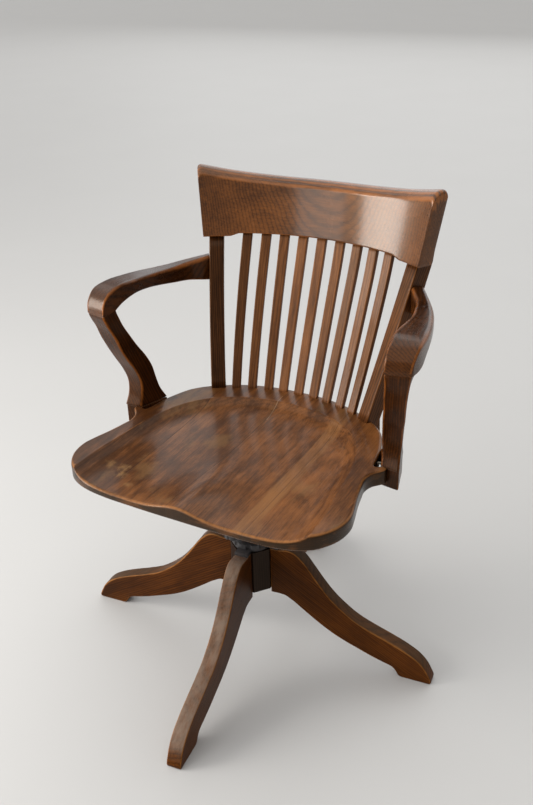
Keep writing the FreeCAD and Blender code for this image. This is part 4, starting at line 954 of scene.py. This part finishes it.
# ------------------------------------------------------------------ the base
LEG_TOP_L = [(40.5, 234.5), (57, 234.5), (66, 236.0), (76, 237.6), (88, 235.5), (105, 222), (122, 200), (142, 172), (165, 144.5), (190, 122.5),
             (214, 106), (245, 92), (280, 78.5), (315, 63), (337, 49), (351.5, 33), (359.8, 17.5), (363.8, 8.5), (364.9, 4), (363.6, 1.0), (360.5, 0)]
LEG_UNDER_L = [(307.5, 0), (303.2, 0.9), (300, 3.8), (296.6, 9.5), (291, 17), (268, 25.5), (246, 32.5), (218, 43), (195, 52), (173, 62), (150, 75),
               (127, 90.5), (105, 106.5), (88, 119), (78, 125), (71.5, 128.6), (63, 130), (40.5, 130)]


def smooth_open(pts, step):
    P = np.array(pts, float)
    L = np.linalg.norm(np.diff(P, axis=0), axis=1).sum()
    return hermite(P, max(8, int(L / step)))


leg_line = np.vstack([smooth_open(LEG_TOP_L, 3.5), smooth_open([(360.5, 0), (307.5, 0)], 4.0)[1:-1], smooth_open(LEG_UNDER_L, 3.5),
                      smooth_open([(40.5, 130), (40.5, 234.5)], 5.0)[1:-1]]) * MM


def leg_tf(k):
    a = math.radians(5.8 + 90 * k)
    u = np.array([math.cos(a), math.sin(a), 0])
    v = np.array([-math.sin(a), math.cos(a), 0])

    def tf(W):
        return W[:, :1] * u + W[:, 2:3] * v + W[:, 1:2] * np.array([0, 0, 1.0])
    return tf, u, v


for k, nm in enumerate(("left", "rear", "right", "front")):
    tf, u, v = leg_tf(k)
    o = plate("leg_wood_" + nm, leg_line, lambda x, y: np.full_like(x, 0.014), lambda x, y: np.full_like(x, -0.014),
              0.0026, 0.0026, 0.012, tf, seg=4, side_loops=2)
    g = tuple(u * 1.0 + np.array([0, 0, -0.62]))
    o.data.materials.append(wood("leg_finish_" + nm, g, tuple(v), (0.06, -0.14), 0.0046, seed=12.0 + k * 2.3, gloss=0.40, coat=0.0, spec=0.12,
                                 rings=0.40, fibre=0.30, wear=0.75, stain=0.5, up_facing_tint=((0.235, 0.172, 0.130), 0.40, 0.72) if nm == "front" else ((0.070, 0.046, 0.026), 0.40, 0.55), **LEG))
    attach(o, "base")
    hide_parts("leg_" + nm)

# ------------------------------------------------- CAD nodes that are kept
iron = metal("iron_finish", (0.014, 0.0125, 0.013), (0.040, 0.018, 0.009), rough=0.48, metallic=0.35, rusty=0.40)
steel = metal("steel_finish", (0.20, 0.185, 0.17), (0.09, 0.045, 0.022), rough=0.36, metallic=0.95, seed=3, rusty=0.35, grit=0.2)
spring_m = metal("spring_finish", (0.07, 0.065, 0.062), (0.09, 0.045, 0.022), rough=0.38, metallic=0.9, seed=5, rusty=0.4, grit=0.2)
screw_m = metal("screw_finish", (0.16, 0.14, 0.11), (0.10, 0.05, 0.022), rough=0.42, metallic=0.9, seed=7, rusty=0.5, grit=0.2)
# the hub's wood is near-black, far darker than the legs: painted shade for the dark space under the seat
hub_shade_m = wood("hub_painted_shade_finish", (0, 0, 1), (1, 0, 0), (0.08, 0.03), 0.0045, seed=17.0, gloss=0.45, coat=0.06, spec=0.2, wear=0.0, dark=(0.003, 0.0015, 0.001),
             mid=(0.009, 0.0045, 0.0028), light=(0.020, 0.010, 0.006), worn=(0.05, 0.03, 0.02))
dowel_m = wood("dowel_finish", (1, 0, 0), (0, 1, 0), (0.0, 0.01), 0.003, seed=19.0, gloss=0.6, coat=0.0, wear=0.0, dark=(0.25, 0.16, 0.08),
               mid=(0.42, 0.29, 0.16), light=(0.55, 0.40, 0.24), worn=(0.5, 0.4, 0.3))
KEPT = {}
for e in frame["record"]["subparts"]:
    KEPT[e["node"]] = {"cast_iron": iron, "steel": steel, "spring_steel": spring_m, "screw_steel": screw_m,
                       "hub_wood": hub_shade_m, "dowel_wood": dowel_m}.get(e["material_slot"])
for node, mat in KEPT.items():
    ob = frame["nodes"].get(node)
    if ob is None or mat is None:
        continue
    if not ob.material_slots:
        continue
    for s in ob.material_slots:
        s.link = "OBJECT"
        s.material = mat

# ------------------------------------------- spring and threaded spindle
def grid_mesh(name, rings, close_ends=True):
    rings = np.asarray(rings)
    n, m = rings.shape[:2]
    V = rings.reshape(-1, 3)
    F = [(i * m + j, i * m + (j + 1) % m, (i + 1) * m + (j + 1) % m, (i + 1) * m + j) for i in range(n - 1) for j in range(m)]
    F.append(tuple(range(m - 1, -1, -1)))
    F.append(tuple((n - 1) * m + j for j in range(m)))
    me = bpy.data.meshes.new(name)
    me.from_pydata([tuple(v) for v in V], [], F)
    ob = bpy.data.objects.new(name, me)
    scene.collection.objects.link(ob)
    me.polygons.foreach_set("use_smooth", [len(f) == 4 for f in F])
    me.update()
    return ob


turns, lo_z, hi_z, coil, wire = 5.2, 0.3111, 0.3512, 0.0150, 0.0020
t = np.linspace(0, 1, 281)
tt = t * turns
free = np.clip((tt - 0.55) / (turns - 1.1), 0, 1)
zc = lo_z + (hi_z - lo_z) * (0.06 * t + 0.94 * free)
zc = np.convolve(np.concatenate([np.full(6, zc[0]), zc, np.full(6, zc[-1])]), np.ones(13) / 13, mode="valid")
centre = np.stack([coil * np.cos(2 * math.pi * tt), -0.070 + coil * np.sin(2 * math.pi * tt), zc], 1)
tangent = unit(np.gradient(centre, axis=0))
out = np.stack([np.cos(2 * math.pi * tt), np.sin(2 * math.pi * tt), 0 * tt], 1)
side_v = np.cross(out, tangent)
side_v = unit(side_v)
rings = []
for i in range(len(t)):
    w = wire * (0.55 if i in (0, len(t) - 1) else 1.0)
    ang = np.arange(14) * 2 * math.pi / 14
    rings.append(centre[i] + w * (np.cos(ang)[:, None] * out[i] + np.sin(ang)[:, None] * side_v[i]))
spring = grid_mesh("tilt_spring_coil", rings)
outward(spring)
spring.data.materials.append(spring_m)
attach(spring, "cup")
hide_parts("tilt_spring")
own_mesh(spring)

half = math.atan2(3.3, 13.6)
ang = np.concatenate([np.linspace(half, 2 * math.pi - half, 64), np.linspace(-half, half, 9)[1:-1]])
zs = np.concatenate([[145.0], np.linspace(145.8, 279.0, 200), [279.25], np.linspace(280, 287, 12), [288.0, 288.05, 289.0], np.linspace(300, 369.5, 6), [370.6, 371.4]])
rings = []
pitch = 6.0
for z in zs:
    base_r = 11.0 if z > 288.02 else 14.0
    r = np.full(len(ang), base_r)
    if 145.5 < z < 279.1:
        ph = (z / pitch - ang / (2 * math.pi)) % 1.0
        ridge = np.clip(1.0 - np.abs(ph - 0.5) * 3.4 + 0.35, 0, 1)
        r = 12.75 + 1.2 * ridge
    elif z < 145.5:
        r = np.full(len(ang), 12.6)
    if z > 370.0:
        r = r - (z - 370.0) * 0.7
    if z < 279.1:
        inside = np.abs((ang + math.pi) % (2 * math.pi) - math.pi) < half - 1e-6
        r = np.where(inside, np.minimum(r, 10.85 / np.cos(ang)), r)
    rings.append(np.stack([r * np.cos(ang), r * np.sin(ang), np.full(len(ang), z)], 1) * MM)
rod = grid_mesh("threaded_spindle", rings)
outward(rod)
rod.data.materials.append(steel)
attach(rod, "lift")
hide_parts("spindle")

# ---------------------------------------------------------- floor and light
fl = bpy.data.meshes.new("floor")
R = 40.0
nseg = 96
fv = [(0, 0, 0)] + [(R * math.cos(2 * math.pi * i / nseg), R * math.sin(2 * math.pi * i / nseg), 0) for i in range(nseg)]
fl.from_pydata(fv, [], [(0, i + 1, (i + 1) % nseg + 1) for i in range(nseg)])
floor = bpy.data.objects.new("floor", fl)
scene.collection.objects.link(floor)
FN = Nodes("floor_finish")
fc = FN.noise(FN.vmath("MULTIPLY", FN.coords(), (2.0, 2.0, 2.0)), 1.0, 3.0, 0.5)
FN.put(FN.bsdf.inputs["Base Color"], FN.ramp(fc, [(0.3, (0.515, 0.505, 0.490)), (0.7, (0.523, 0.513, 0.498))]))
FN.bsdf.inputs["Roughness"].default_value = 0.55
fl.materials.append(FN.mat)

world = bpy.data.worlds.new("studio")
world.use_nodes = True
scene.world = world
bg = world.node_tree.nodes["Background"]
bg.inputs[0].default_value = (0.95, 0.965, 0.98, 1)
bg.inputs[1].default_value = 0.34


def area(name, loc, target, sx, sy, power, color=(1, 1, 1)):
    d = bpy.data.lights.new(name, "AREA")
    d.shape = "RECTANGLE"
    d.size, d.size_y = sx, sy
    d.energy = power
    d.color = color
    ob = bpy.data.objects.new(name, d)
    ob.location = loc
    ob.rotation_mode = "QUATERNION"
    ob.rotation_quaternion = (Vector(target) - Vector(loc)).to_track_quat("-Z", "Y")
    ob.visible_camera = False
    scene.collection.objects.link(ob)
    return ob


sky = bpy.data.lights.new("sky", "SUN")
sky.energy = 1.9
sky.angle = math.radians(110)
sky.color = (1.0, 0.99, 0.975)
sky_ob = bpy.data.objects.new("sky", sky)
sky_ob.rotation_mode = "QUATERNION"
sky_ob.rotation_quaternion = Vector((0.35, 0.10, -1.0)).to_track_quat("-Z", "Y")
sky_ob.location = (-1, 0, 4)
scene.collection.objects.link(sky_ob)
area("wall", (0.0, 8.5, 4.8), (0, 0, 1.6), 14.0, 6.5, 290, (0.96, 0.98, 1.0))
area("window", (-2.50, -1.52, 1.35), (0, 0, 0.62), 1.20, 1.85, 84, (1.0, 0.985, 0.96))
area("room", (-1.30, -2.60, 1.35), (0, 0, 0.62), 1.25, 1.85, 22, (0.97, 0.98, 1.0))
